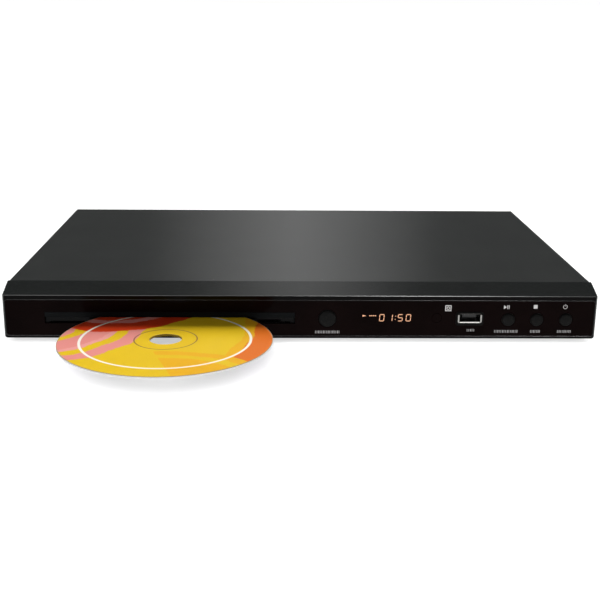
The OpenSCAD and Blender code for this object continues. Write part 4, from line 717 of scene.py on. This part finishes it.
play = [[(121.3, 23.5), (123.0, 24.7), (121.3, 25.9)], rect(123.3, 23.5, 123.7, 25.9), rect(124.2, 23.5, 124.6, 25.9)]
stop = [rect(139.2, 23.8, 141.5, 26.1)]
power = arc_band(158.3, 24.95, 1.05, 1.32, 118, 422) + [rect(158.2, 25.3, 158.4, 26.6)]
flat_marks("key_icons", play + stop + power, WHITE_WITH_PAINTED_GLOW)
square = [rect(86.0, 22.1, 89.7, 22.6), rect(86.0, 25.3, 89.7, 25.8),
          rect(86.0, 22.6, 86.5, 25.3), rect(89.2, 22.6, 89.7, 25.3)]
flat_marks("disc_sign", square + arc_band(87.85, 23.95, 0.6, 1.05, 0, 360, 20), WHITE_WITH_PAINTED_GLOW)

# Each caption from x0 to x1 and from z0 to z1
CAPTIONS = {
    "open": (8.2, 23.3, 8.0, 9.7),
    "play": (116.3, 130.8, 8.6, 10.3),
    "stop": (138.2, 144.5, 8.6, 10.3),
    "power": (154.5, 163.4, 8.6, 10.3),
    "port": (99.7, 104.7, 9.4, 10.9),
}
for tag, place in CAPTIONS.items():
    flat_marks("caption_" + tag, caption(*place, seed=len(tag)), SOFT_WHITE)


# ---- Bead around the window ----

def bead_highlight():
    """A bead in the seam with a painted highlight: bright metal on its upper side, near black below, and brighter
    towards both ends.
    """
    m = Material("bead_highlight", metal=1.0)
    # Painted highlight: brighter towards both ends, and bright only where the bead faces up
    ends = m.smooth(m.math("ABSOLUTE", m.x), 60.0, 160.0)
    highlight_colour = m.mix(ends, (0.19, 0.185, 0.185, 1), (0.36, 0.35, 0.35, 1))
    m.colour(m.mix(m.smooth(m.up(), 0.05, 0.3), (0.012, 0.0115, 0.0115, 1), highlight_colour))
    m.roughness(0.2, 0.28, 0.3)
    ripple = m.add("Bump", Strength=1.0, Distance=0.002 * MM, Height=m.noise(1.2, 2.0),
                   Normal=m.leaned((-0.03, 0.0, 0.0)))
    m.set(Normal=ripple.outputs[0])
    return m


def window_bead(half_width, foot, top, corner, radius):
    """A half-round bead along the window's outline, its flat back in the seam."""
    turn_steps, round_steps = 6, 8
    rings = []
    for side, level, start in ((1, top, 0), (-1, top, 90), (-1, foot, 180), (1, foot, 270)):
        cx = side * (half_width - corner)
        cz = level + (corner if level == foot else -corner)
        for i in range(turn_steps + 1):
            way = math.radians(start + 90 / turn_steps * i)
            ring = []
            for k in range(round_steps + 1):
                a = math.pi * k / round_steps
                out = corner + radius * math.cos(a)
                ring.append((cx + math.cos(way) * out, WINDOW_Y - radius * math.sin(a), cz + math.sin(way) * out))
            rings.append(ring)
    add_loop("window_bead", rings, bead_highlight())


window_bead(half_width=176.2, foot=6.3, top=28.6, corner=1.4, radius=0.3)


# ---- Coloured rings in the phono jacks ----

def jack_insert(name, x, z, finish):
    """A ring about an axis along Y. Its section is in radius and depth under the jack's end."""
    section = [(2.55, 0.98), (3.5, 0.98), (3.5, 0.35), (3.4, 0.22), (2.65, 0.22), (2.55, 0.35)]
    steps = 40
    rings = []
    for i in range(steps):
        a = 2 * math.pi * i / steps
        rings.append([(x + r * math.cos(a), JACK_Y - deep, z + r * math.sin(a)) for r, deep in section])
    add_loop(name, rings, finish)


FIRST_JACK_X, JACK_PITCH, JACK_Z = 12, 14, 18.2
JACK_COLOURS = {
    "white": (0.75, 0.75, 0.72),
    "red": (0.55, 0.02, 0.015),
    "yellow": (0.75, 0.48, 0.02),
    "orange": (0.75, 0.17, 0.01),
}
for i, (tag, shade) in enumerate(JACK_COLOURS.items()):
    finish = moulding("jack_" + tag, shade, 0.3, 0.4)
    jack_insert("jack_insert_" + tag, FIRST_JACK_X + JACK_PITCH * i, JACK_Z, finish)
